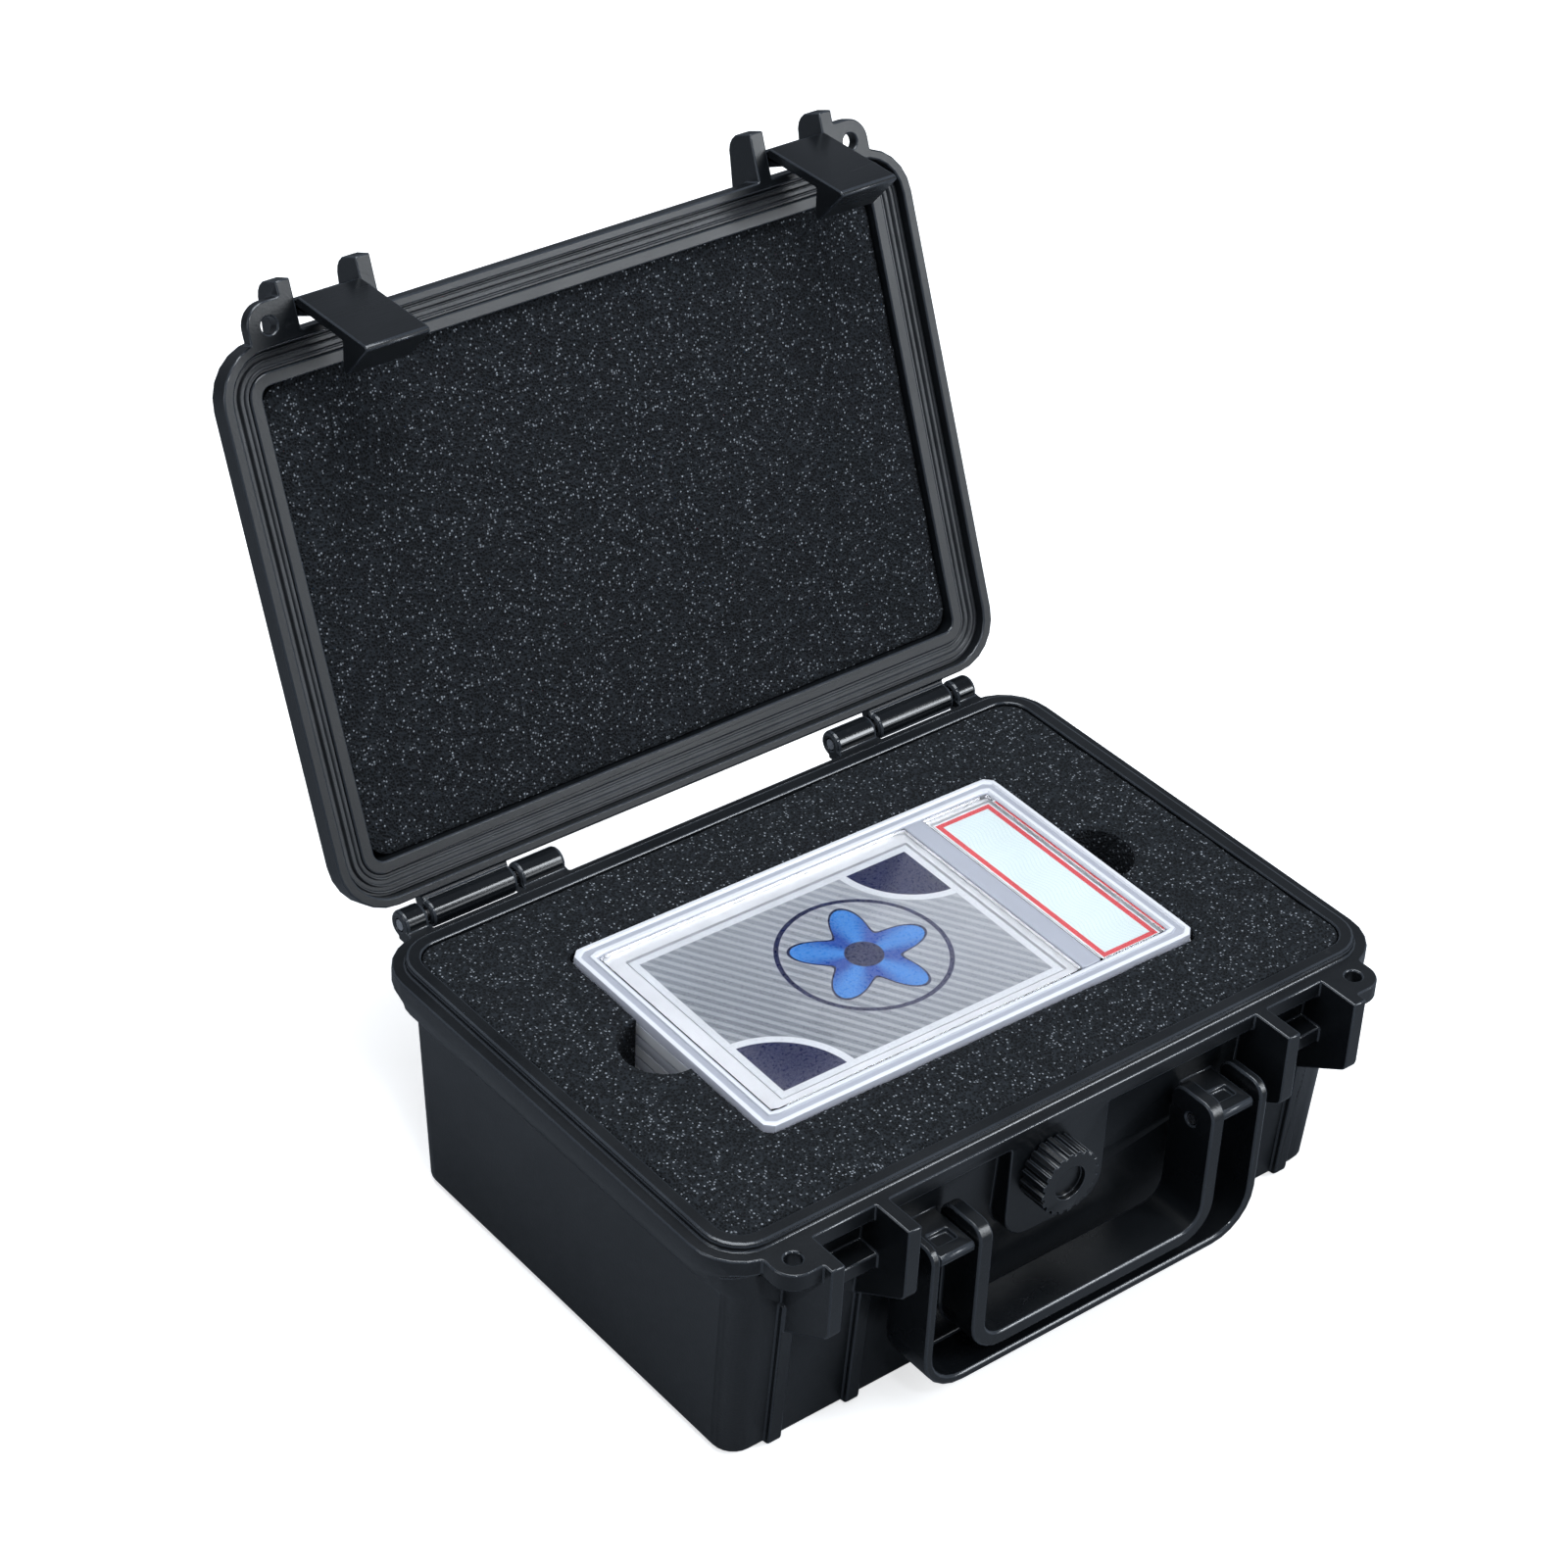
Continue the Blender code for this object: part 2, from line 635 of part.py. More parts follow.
def valve_plate():
    top = BASE_HEIGHT - FLANGE_HEIGHT / 2
    outline = [(PLATE_RIGHT, top), (PLATE_LEFT, top)] + \
        arc((PLATE_LEFT + PLATE_CORNER, PLATE_BOTTOM + PLATE_CORNER), PLATE_CORNER, 180, 270) + \
        arc((PLATE_RIGHT - PLATE_CORNER, PLATE_BOTTOM + PLATE_CORNER), PLATE_CORNER, 270, 360)
    back = -wall_half_y(PLATE_BOTTOM) + EMBED
    return [add_object("valve_plate", flat_mesh("valve_plate", outline, FRONT, back, "Y"), CUTTERS)]


def valve_bore():
    back = -wall_half_y(VALVE_Z) + SHELL_WALL
    mesh = rod_mesh("valve_bore", BUSH_RADIUS + CLEAR, (VALVE_X, FRONT - OVERRUN, VALVE_Z),
                    (VALVE_X, back + OVERRUN, VALVE_Z))
    return [add_object("valve_bore", mesh, CUTTERS)]


def wall_ribs():
    low = WALL_RIB_FOOT
    high = BASE_HEIGHT - RIB_DROP
    foot = -wall_half_y(low) - WALL_RIB_PROUD
    outline = [(-wall_half_y(high) + EMBED, high), (-wall_half_y(high) - WALL_RIB_PROUD, high)] + \
        arc((foot + WALL_RIB_ROUND, low + WALL_RIB_ROUND), WALL_RIB_ROUND, 180, 270, 3) + \
        [(-wall_half_y(low) + EMBED, low)]
    tools = []
    for x in (-WALL_RIB_OUTER_X, -WALL_RIB_INNER_X, WALL_RIB_INNER_X, WALL_RIB_OUTER_X):
        mesh = side_mesh("wall_rib", outline, x - WALL_RIB_WIDTH / 2, x + WALL_RIB_WIDTH / 2)
        tools.append(add_object("wall_rib", mesh, CUTTERS))
    return tools


def base_shell(look):
    shell = add_object("base_shell", base_body(), look=look)
    join(shell, latch_ribs() + tabs("base_tab", BASE_HEIGHT - BASE_TAB_THICK, BASE_HEIGHT))
    join(shell, base_knuckles() + brackets() + valve_plate() + wall_ribs())
    cavity = cavity_block("base_cavity", 0.0, SHELL_WALL, BASE_HEIGHT + TONGUE_HEIGHT + OVERRUN)
    cut(shell, [add_object("base_cavity", cavity, CUTTERS)])
    cut(shell, tab_holes("base_tab_hole", BASE_HEIGHT - BASE_TAB_THICK, BASE_HEIGHT))
    cut(shell, hinge_bores() + bracket_cuts() + valve_bore())
    return shell


# Lid shell, modelled closed and carried open by its hinge

def lid_body():
    wall_x = SIDE_WALL_INSET
    wall_y = FRONT_WALL_INSET
    round_start = LID_TOP - LID_ROUND
    rings = [case_ring(-LID_OVERHANG, 0, SEAM), case_ring(-LID_OVERHANG, 0, SEAM + LID_FLANGE)]
    chamfer = SIDE_WALL_INSET * LID_CHAMFER_SHARE
    rings.append(case_ring(wall_x, wall_y, SEAM + LID_FLANGE + chamfer, WALL_CORNER))
    for step in range(4):
        angle = step / 3 * math.pi / 2
        inset = LID_ROUND * (1 - math.cos(angle))
        rings.append(case_ring(wall_x + inset, wall_y + inset, round_start + LID_ROUND * math.sin(angle),
                               WALL_CORNER + LID_ROUND - inset))
    return loft("lid_shell", rings)


def band(name, inset, width, low, high):
    outer = inset
    inner = inset + width
    return loft(name, [case_ring(outer, outer, low), case_ring(outer, outer, high),
                       case_ring(inner, inner, high), case_ring(inner, inner, low)], closed=True)


def lid_cuts():
    groove_end = GROOVE_INSET + GROOVE_WIDTH
    lip_end = groove_end + LIP_WIDTH
    groove = band("gasket_groove", GROOVE_INSET, GROOVE_WIDTH, SEAM - OVERRUN, SEAM + GROOVE_DEPTH)
    lip = loft("lip_cut", [case_ring(groove_end - OVERRUN, groove_end - OVERRUN, SEAM - OVERRUN),
                           case_ring(groove_end - OVERRUN, groove_end - OVERRUN, SEAM + LIP_DROP)])
    roof = LID_TOP - SHELL_WALL
    chamfer = roof - LID_ROUND / 2
    hollow = loft("lid_cavity", [case_ring(lip_end, lip_end, SEAM - OVERRUN),
                                 case_ring(lip_end, lip_end, chamfer),
                                 case_ring(lip_end + LID_ROUND / 2, lip_end + LID_ROUND / 2, roof)])
    return [add_object(mesh.name, mesh, CUTTERS) for mesh in (groove, lip, hollow)]


def latch_bores():
    tools = []
    for side in (-1, 1):
        start, end = latch_pin_span(side)
        mesh = rod_mesh("latch_bore", LATCH_PIN_RADIUS + CLEAR, (start - CLEAR, PIN_Y, PIN_Z),
                        (end + CLEAR, PIN_Y, PIN_Z), 16)
        tools.append(add_object("latch_bore", mesh, CUTTERS))
    return tools


def latch_pin_span(side):
    half = BAY_WIDTH / 2
    inner = LATCH_X - half - INNER_FIN + LATCH_PIN_END
    outer = LATCH_X + half + OUTER_RIB - LATCH_PIN_END
    return sorted((side * inner, side * outer))


def lid_shell(look, carrier):
    shell = add_object("lid_shell", lid_body(), look=look, parent=carrier)
    shell.location = (0, -HINGE_Y, -HINGE_Z)
    tools = latch_fins() + tabs("lid_tab", SEAM, SEAM + LID_TAB_THICK) + lid_knuckles()
    cuts = lid_cuts() + tab_holes("lid_tab_hole", SEAM, SEAM + LID_TAB_THICK) + latch_bores() + hinge_bores()
    for tool in tools + cuts:
        tool.parent = carrier
        tool.location = shell.location
    join(shell, tools)
    cut(shell, cuts)
    return shell


def lid_gasket(look, carrier):
    low = BASE_HEIGHT + TONGUE_HEIGHT + CLEAR
    high = SEAM + GROOVE_DEPTH - GASKET_CLEAR
    outer = GROOVE_INSET + GASKET_CLEAR
    inner = GROOVE_INSET + GROOVE_WIDTH - GASKET_CLEAR
    middle = (outer + inner) / 2
    ridge = GASKET_RIDGE / 2
    bed = low + GASKET_BED
    outline = [(outer, high), (outer, bed), (middle - 2 * ridge, bed), (middle - ridge, low),
               (middle + ridge, low), (middle + 2 * ridge, bed), (inner, bed), (inner, high)]
    mesh = loft("lid_gasket", [case_ring(inset, inset, z) for inset, z in outline], closed=True)
    gasket = add_object("lid_gasket", mesh, look=look, parent=carrier)
    gasket.location = (0, -HINGE_Y, -HINGE_Z)
    return gasket


def lid_foam(look, carrier):
    inset = GROOVE_INSET + GROOVE_WIDTH + LIP_WIDTH + FOAM_GAP
    roof = LID_TOP - SHELL_WALL - FOAM_GAP
    chamfer = roof - LID_ROUND / 2 - FOAM_GAP
    slope = inset + LID_ROUND / 2 + FOAM_GAP
    mesh = loft("lid_foam", [case_ring(inset, inset, SEAM + LID_FOAM_RISE), case_ring(inset, inset, chamfer),
                             case_ring(slope, slope, roof)])
    foam = add_object("lid_foam", mesh, look=look, parent=carrier)
    foam.location = (0, -HINGE_Y, -HINGE_Z)
    return foam


# Latches: a plate on a barrel, with a hook behind its lower end

def latch_outline():
    inner = -LATCH_FACE + LATCH_PLATE
    tip = -LATCH_LENGTH
    points = [(-LATCH_FACE, -LATCH_SHOULDER - LATCH_TIP_BEVEL)]
    points += [(-LATCH_FACE + LATCH_TIP_BEVEL, -LATCH_SHOULDER)]
    points += arc((0.0, 0.0), LATCH_BARREL, 180, -30, 10)
    points += [(inner, -LATCH_GUSSET), (inner, -LATCH_HOOK_TOP)]
    points += [(LATCH_NOSE_REACH - LATCH_TIP_BEVEL, -LATCH_HOOK_TOP),
               (LATCH_NOSE_REACH, -LATCH_HOOK_TOP - LATCH_TIP_BEVEL), (LATCH_NOSE_REACH, -LATCH_NOSE_DROP)]
    points += [(-LATCH_FACE + LATCH_TIP_BEVEL, tip), (-LATCH_FACE, tip + LATCH_TIP_BEVEL)]
    return points


def latch(name, look, carrier):
    half = LATCH_WIDTH / 2
    body = add_object(name, side_mesh(name, latch_outline(), -half, half), look=look, parent=carrier)
    reach = half + OVERRUN
    bore = rod_mesh(name + "_bore", LATCH_PIN_RADIUS + CLEAR, (-reach, 0, 0), (reach, 0, 0), 16)
    cut(body, [add_object(name + "_bore", bore, CUTTERS, parent=carrier)])


def latch_set(side, name, metal, plastic, lid_frame):
    place = (side * LATCH_X, PIN_Y - HINGE_Y, PIN_Z - HINGE_Z)
    carrier = add_empty("latch_axis_" + name, place, LATCH_REST_SWING, lid_frame)
    start, end = latch_pin_span(side)
    middle = side * LATCH_X
    mesh = rod_mesh("latch_pin_" + name, LATCH_PIN_RADIUS, (start - middle, 0, 0), (end - middle, 0, 0))
    smooth(add_object("latch_pin_" + name, mesh, look=metal, parent=carrier))
    latch("latch_" + name, plastic, carrier)


def hinge_pin(side, name, look):
    mesh = rod_mesh("hinge_pin_" + name, HINGE_PIN_RADIUS, (side * (HINGE_INNER + CLEAR), 0, 0),
                    (side * (HINGE_OUTER - CLEAR), 0, 0))
    pin = add_object("hinge_pin_" + name, mesh, look=look)
    pin.location = (0, HINGE_Y, HINGE_Z)
    smooth(pin)


# Handle: a channel-section bail on two pins

def bail_outline(half, bottom, corner, top):
    return [(half, top), (-half, top)] + arc((-half + corner, bottom + corner), corner, 180, 270) + \
        arc((half - corner, bottom + corner), corner, 270, 360)


# The arms' upper ends, square with both corners rounded
def ear_outline(front, back):
    low = HANDLE_PIVOT_Z - HANDLE_EAR
    centre = HANDLE_PIVOT_Z + HANDLE_EAR - HANDLE_EAR_ROUND
    return [(front, low), (back, low)] + arc((back - HANDLE_EAR_ROUND, centre), HANDLE_EAR_ROUND, 0, 90) + \
        arc((front + HANDLE_EAR_ROUND, centre), HANDLE_EAR_ROUND, 90, 180)


def handle_tool(name, outline, front, back):
    return add_object(name, flat_mesh(name, outline, front, back, "Y"), CUTTERS)


def handle(look):
    pivot = HANDLE_PIVOT_Z
    front = HANDLE_Y
    back = front + HANDLE_THICK
    top = pivot + HANDLE_EAR + OVERRUN
    outline = bail_outline(HANDLE_OUTER, HANDLE_BOTTOM, HANDLE_OUTER_CORNER, pivot)
    body = flat_mesh("handle", outline, front, back, "Y")
    bail = add_object("handle", shift_to(body, (0, HANDLE_PIVOT_Y, pivot)), look=look)
    bail.location = (0, HANDLE_PIVOT_Y, pivot)
    window = bail_outline(HANDLE_INNER, HANDLE_BAR_TOP, HANDLE_INNER_CORNER, top)
    opening = handle_tool("handle_window", window, front - OVERRUN, back + OVERRUN)
    inner = HANDLE_INNER + HANDLE_INNER_RIM
    outer = HANDLE_OUTER - HANDLE_OUTER_RIM
    low = HANDLE_BOTTOM + HANDLE_OUTER_RIM
    high = HANDLE_BAR_TOP - HANDLE_INNER_RIM
    channel = bail_outline(outer, low, HANDLE_OUTER_CORNER - HANDLE_OUTER_RIM, top)
    core = bail_outline(inner, high, HANDLE_INNER_CORNER + HANDLE_INNER_RIM, top + OVERRUN)
    groove = handle_tool("handle_channel", channel, front - OVERRUN, back - HANDLE_WEB)
    cut(groove, [handle_tool("handle_core", core, front - 2 * OVERRUN, back)])
    ears = []
    slots = []
    for side in (-1, 1):
        for a, b in ((HANDLE_INNER, inner), (outer, HANDLE_OUTER)):
            x0, x1 = sorted((side * a, side * b))
            ear = side_mesh("handle_ear", ear_outline(front, back), x0, x1)
            ears.append(add_object("handle_ear", ear, CUTTERS))
        x0, x1 = sorted((side * inner, side * outer))
        slot = box_mesh("handle_slot", (x0, front - OVERRUN, pivot - HANDLE_WEB_DROP),
                        (x1, back + OVERRUN, top))
        slots.append(add_object("handle_slot", slot, CUTTERS))
    bores = []
    for side in (-1, 1):
        start, end = handle_pin_span(side)
        bore = rod_mesh("handle_bore", HANDLE_PIN_RADIUS + CLEAR, (start - OVERRUN, HANDLE_PIVOT_Y, pivot),
                        (end + OVERRUN, HANDLE_PIVOT_Y, pivot), 16)
        bores.append(add_object("handle_bore", bore, CUTTERS))
    join(bail, ears)
    cut(bail, [opening, groove] + slots + bores)


def handle_pin_span(side):
    return sorted((side * (HANDLE_INNER + CLEAR), side * (HANDLE_OUTER - CLEAR)))


def handle_pin(side, name, look):
    start, end = handle_pin_span(side)
    mesh = rod_mesh("handle_pin_" + name, HANDLE_PIN_RADIUS, (start, 0, 0), (end, 0, 0))
    pin = add_object("handle_pin_" + name, mesh, look=look)
    pin.location = (0, HANDLE_PIVOT_Y, HANDLE_PIVOT_Z)
    smooth(pin)


# Valve: a toothed knob with a stem, its seal and its threaded bush

def valve_tool(name, radius, start, end):
    mesh = rod_mesh(name, radius, (VALVE_X, start, VALVE_Z), (VALVE_X, end, VALVE_Z))
    return add_object(name, mesh, CUTTERS)


def knob(look):
    back = FRONT - CLEAR
    front = back - KNOB_LENGTH
    points = []
    reaches = (KNOB_RADIUS, KNOB_RADIUS, KNOB_RADIUS - KNOB_TOOTH, KNOB_RADIUS - KNOB_TOOTH)
    for tooth in range(KNOB_TEETH):
        for share, reach in zip(KNOB_TOOTH_SHARES, reaches):
            angle = (tooth + share) / KNOB_TEETH * 2 * math.pi
            points.append((reach * math.cos(angle), reach * math.sin(angle)))
    mesh = flat_mesh("valve_knob", points, front, back, "Y")
    body = add_object("valve_knob", mesh, look=look)
    body.location = (VALVE_X, 0, VALVE_Z)
    recess = front + KNOB_RECESS_DEPTH
    seat_end = back - SEAL_DEPTH
    stem = valve_tool("valve_stem", STEM_RADIUS, recess + OVERRUN, back + STEM_REACH)
    dish = valve_tool("knob_dish", KNOB_RECESS_RADIUS, front - OVERRUN, recess)
    seat = valve_tool("seal_seat", SEAL_RADIUS + SEAL_THICK + CLEAR, seat_end, back + OVERRUN)
    post = valve_tool("seal_post", SEAL_RADIUS - SEAL_THICK - CLEAR, seat_end - OVERRUN, back + 2 * OVERRUN)
    join(body, [stem])
    cut(seat, [post])
    cut(body, [seat, dish])


def valve_seal(look):
    bm = bmesh.new()
    sides = 28
    around = 8
    rows = []
    for i in range(sides):
        turn = 2 * math.pi * i / sides
        row = []
        for j in range(around):
            angle = 2 * math.pi * j / around
            reach = SEAL_RADIUS + SEAL_THICK * math.cos(angle)
            y = SEAL_THICK * math.sin(angle)
            row.append(bm.verts.new((reach * math.cos(turn), y, reach * math.sin(turn))))
        rows.append(row)
    for i in range(sides):
        for j in range(around):
            nxt = rows[(i + 1) % sides]
            bm.faces.new((rows[i][j], nxt[j], nxt[(j + 1) % around], rows[i][(j + 1) % around]))
    ring_mesh = finish_mesh("valve_seal", bm)
    piece = add_object("valve_seal", ring_mesh, look=look)
    piece.location = (VALVE_X, FRONT - CLEAR - SEAL_THICK, VALVE_Z)
    smooth(piece)


def valve_bush(look):
    mesh = rod_mesh("valve_bush", BUSH_RADIUS, (0, FRONT + CLEAR, 0), (0, BUSH_BACK, 0))
    bush = add_object("valve_bush", mesh, look=look)
    bush.location = (VALVE_X, 0, VALVE_Z)
    cut(bush, [valve_tool("bush_bore", STEM_RADIUS + CLEAR, FRONT - OVERRUN, BUSH_BACK + OVERRUN)])


# Slabs

def slab_plate(name, low, high, look, parent):
    mesh = loft(name, [ring(SLAB_LENGTH / 2, SLAB_WIDTH / 2, SLAB_CORNER, z, steps=4) for z in (low, high)])
    return add_object(name, mesh, look=look, parent=parent)


def panel_cut(name, length, width, middle, low, high, parent):
    half_x = length / 2 + SEAT_GAP
    half_y = width / 2 + SEAT_GAP
    mesh = loft(name, [ring(half_x, half_y, SEAT_GAP, z, steps=2, centre=(middle, 0)) for z in (low, high)])
    return add_object(name, mesh, CUTTERS, parent=parent)


def slab(index, bottom, looks):
    frame = add_empty("slab_frame_%d" % index, (0, 0, bottom))
    frame.rotation_euler = (0, 0, SLAB_TURN)
    middle = SLAB_THICK / 2
    half_gap = SLAB_JOIN / 2
    back = slab_plate("slab_%d_back" % index, 0.0, middle - half_gap, looks["clear"], frame)
    front = slab_plate("slab_%d_front" % index, middle + half_gap, SLAB_THICK, looks["clear"], frame)
    seat_low = middle - SEAT_DEPTH
    seat_high = middle + half_gap + OVERRUN
    panel_low = SLAB_THICK - SLAB_PANEL_DROP
    rest = seat_low + CLEAR
    for kind, length, width, place in (("card", CARD_LENGTH, CARD_WIDTH, CARD_X),
                                       ("label", LABEL_LENGTH, LABEL_WIDTH, LABEL_X)):
        tool = "slab_seat_%d" % index
        cut(back, [panel_cut(tool, length, width, place, seat_low, seat_high, frame)])
        cut(front, [panel_cut(tool, length, width, place, panel_low, SLAB_THICK + OVERRUN, frame)])
        name = "slab_%d_%s" % (index, kind)
        mesh = box_mesh(name, (place - length / 2, -width / 2, rest),
                        (place + length / 2, width / 2, rest + CARD_THICK))
        add_object(name, mesh, look=looks[kind], parent=frame)


# Foam in the base: a block with the slabs' pocket through it, over a plain pad

def base_foam(look):
    bottom = PAD_TOP
    low = bottom - OVERRUN
    high = FOAM_TOP + OVERRUN
    block = add_object("base_foam", cavity_block("base_foam", FOAM_GAP, bottom, FOAM_TOP), look=look)
    half_x = SLAB_LENGTH / 2 + POCKET_GAP
    half_y = SLAB_WIDTH / 2 + POCKET_GAP
    pocket = loft("slab_pocket", [ring(half_x, half_y, SLAB_CORNER, z, SLAB_TURN, 3) for z in (low, high)])
    tools = [add_object("slab_pocket", pocket, CUTTERS)]
    for side in (-1, 1):
        x = side * half_x * math.cos(SLAB_TURN)
        y = side * half_x * math.sin(SLAB_TURN)
        mesh = rod_mesh("finger_notch", NOTCH_RADIUS, (x, y, low), (x, y, high), 28)
        tools.append(add_object("finger_notch", mesh, CUTTERS))
    cut(block, tools)


def base_pad(look):
    low = SHELL_WALL + FOAM_GAP
    high = PAD_TOP - SLAB_JOIN
    add_object("base_foam_pad", cavity_block("base_foam_pad", FOAM_GAP, low, high), look=look)


def build():
    plastic = material("black_plastic", (0.022, 0.023, 0.026), 0.42)
    latch_plastic = material("latch_plastic", (0.026, 0.027, 0.031), 0.38)
    handle_plastic = material("handle_plastic", (0.020, 0.021, 0.024), 0.40)
    knob_plastic = material("knob_plastic", (0.030, 0.031, 0.034), 0.45)
    foam = material("charcoal_foam", (0.055, 0.056, 0.062), 0.95)
    gasket = material("gasket_rubber", (0.070, 0.062, 0.058), 0.60)
    seal = material("seal_rubber", (0.015, 0.015, 0.015), 0.55)
    steel = material("pin_steel", (0.60, 0.60, 0.62), 0.30, 1.0)
    brass = material("bush_brass", (0.72, 0.56, 0.30), 0.35, 1.0)
    looks = {"clear": material("slab_clear", (0.86, 0.87, 0.90), 0.12),
             "card": material("card_print", (0.30, 0.36, 0.55), 0.35),
             "label": material("label_print", (0.72, 0.83, 0.80), 0.50)}
    base_shell(plastic)
    base_foam(foam)
    base_pad(foam)
    lid_frame = add_empty("lid_axis", (0, HINGE_Y, HINGE_Z), -LID_OPEN)
    lid_shell(plastic, lid_frame)
    lid_gasket(gasket, lid_frame)
    lid_foam(foam, lid_frame)
    for side, name in ((-1, "left"), (1, "right")):
        hinge_pin(side, name, steel)
        latch_set(side, name, steel, latch_plastic, lid_frame)
        handle_pin(side, name, steel)
    handle(handle_plastic)
    knob(knob_plastic)
    valve_seal(seal)
    valve_bush(brass)
    for index in range(SLAB_COUNT):
        slab(index + 1, PAD_TOP + index * STACK_STEP, looks)


build()
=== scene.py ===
import json
import math

import bmesh
import bpy
import numpy as np
from mathutils import Matrix, Vector


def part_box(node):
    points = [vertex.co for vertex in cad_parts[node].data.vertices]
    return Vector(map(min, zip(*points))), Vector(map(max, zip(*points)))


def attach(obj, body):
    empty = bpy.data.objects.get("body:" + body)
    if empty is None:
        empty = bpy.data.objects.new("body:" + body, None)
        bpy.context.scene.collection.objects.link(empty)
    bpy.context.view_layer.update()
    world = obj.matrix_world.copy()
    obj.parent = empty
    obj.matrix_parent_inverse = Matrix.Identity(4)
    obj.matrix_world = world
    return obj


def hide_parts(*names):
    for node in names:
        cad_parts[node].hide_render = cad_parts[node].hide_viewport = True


# Card slab case, open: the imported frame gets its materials, rounded edges, foam, gasket, covers and prints.
# Lengths are in metres. A noise is given as scale, detail and roughness, and a range as spread takes it.
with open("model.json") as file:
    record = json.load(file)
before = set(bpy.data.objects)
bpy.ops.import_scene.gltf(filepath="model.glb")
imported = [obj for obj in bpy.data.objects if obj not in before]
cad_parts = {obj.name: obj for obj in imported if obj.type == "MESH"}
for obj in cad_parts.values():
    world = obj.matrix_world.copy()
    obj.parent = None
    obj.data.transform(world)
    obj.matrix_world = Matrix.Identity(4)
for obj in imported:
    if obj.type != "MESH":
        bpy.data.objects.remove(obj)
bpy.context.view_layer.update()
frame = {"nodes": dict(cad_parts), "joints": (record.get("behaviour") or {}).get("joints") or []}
print("frame loaded:", len(frame["nodes"]), "nodes")


# Camera, from the same angle and distance as the photograph

camera = {
    "target": (0.032207, 0.081194, 0.0613),
    "azimuth": -39.995,
    "elevation": 35.257,
    "roll": 2.932,
    "distance": 1.058765,
    "focalShare": 2.498263,  # focal length over sensor width
    "sensor": 36.0,
}


def addCamera(settings):
    azimuth, elevation, roll = (math.radians(settings[key]) for key in ("azimuth", "elevation", "roll"))
    back = Vector((math.sin(azimuth) * math.cos(elevation), -math.cos(azimuth) * math.cos(elevation),
                   math.sin(elevation)))
    level = (-back).cross(Vector((0, 0, 1))).normalized()
    upright = level.cross(-back)
    right = level * math.cos(roll) + upright * math.sin(roll)
    up = upright * math.cos(roll) - level * math.sin(roll)
    data = bpy.data.cameras.new("photoCamera")
    data.sensor_width = settings["sensor"]
    data.lens = settings["sensor"] * settings["focalShare"]
    made = bpy.data.objects.new("photoCamera", data)
    bpy.context.scene.collection.objects.link(made)
    turn = Matrix((right, up, back)).transposed().to_4x4()
    made.matrix_world = Matrix.Translation(Vector(settings["target"]) + back * settings["distance"]) @ turn
    bpy.context.scene.camera = made


addCamera(camera)
print("camera placed")


# Node helpers: a number sets a socket, a socket is linked

def plug(tree, socket, value):
    if isinstance(value, bpy.types.NodeSocket):
        tree.links.new(value, socket)
    elif isinstance(value, tuple) and len(value) == 3 and socket.type == "RGBA":
        socket.default_value = (*value, 1.0)
    else:
        socket.default_value = value


def calc(tree, operation, a, b=0.0):
    node = tree.nodes.new("ShaderNodeMath")
    node.operation = operation
    plug(tree, node.inputs[0], a)
    plug(tree, node.inputs[1], b)
    return node.outputs[0]


# Carries a value over from low and high to start and end, and no further
def spread(tree, value, low, high, start=0.0, end=1.0):
    node = tree.nodes.new("ShaderNodeMapRange")
    for index, number in enumerate((value, low, high, start, end)):
        plug(tree, node.inputs[index], number)
    return node.outputs[0]


# The Mix node's colours are its inputs 6 and 7 and its output 2
def blendColours(tree, share, first, second):
    node = tree.nodes.new("ShaderNodeMix")
    node.data_type = "RGBA"
    plug(tree, node.inputs["Factor"], share)
    plug(tree, node.inputs[6], first)
    plug(tree, node.inputs[7], second)
    return node.outputs[2]


def noise(tree, place, scale, detail, rough):
    node = tree.nodes.new("ShaderNodeTexNoise")
    plug(tree, node.inputs["Vector"], place)
    plug(tree, node.inputs["Scale"], scale)
    plug(tree, node.inputs["Detail"], detail)
    plug(tree, node.inputs["Roughness"], rough)
    return node.outputs["Fac"]


def cells(tree, place, scale):
    node = tree.nodes.new("ShaderNodeTexVoronoi")
    plug(tree, node.inputs["Vector"], place)
    plug(tree, node.inputs["Scale"], scale)
    return node.outputs["Distance"], node.outputs["Color"]


def objectPlace(tree, scale=(1.0, 1.0, 1.0), turn=0.0):
    texture = tree.nodes.new("ShaderNodeTexCoord")
    mapping = tree.nodes.new("ShaderNodeMapping")
    tree.links.new(texture.outputs["Object"], mapping.inputs["Vector"])
    mapping.inputs["Rotation"].default_value = (0, 0, turn)
    mapping.inputs["Scale"].default_value = scale
    return mapping.outputs["Vector"]


def bump(tree, shader, height, distance, strength=1.0):
    node = tree.nodes.new("ShaderNodeBump")
    node.inputs["Strength"].default_value = strength
    node.inputs["Distance"].default_value = distance
    tree.links.new(height, node.inputs["Height"])
    tree.links.new(node.outputs["Normal"], shader.inputs["Normal"])


def newMaterial(name, colour, roughness, metallic=0.0):
    material = bpy.data.materials.new(name)
    material.use_nodes = True
    shader = material.node_tree.nodes["Principled BSDF"]
    shader.inputs["Base Color"].default_value = (*colour, 1.0)
    shader.inputs["Roughness"].default_value = roughness
    shader.inputs["Metallic"].default_value = metallic
    material.diffuse_color = (*colour, 1.0)
    return material, material.node_tree, shader


def darker(colour, share):
    return tuple(share * part for part in colour)


# Shared groups

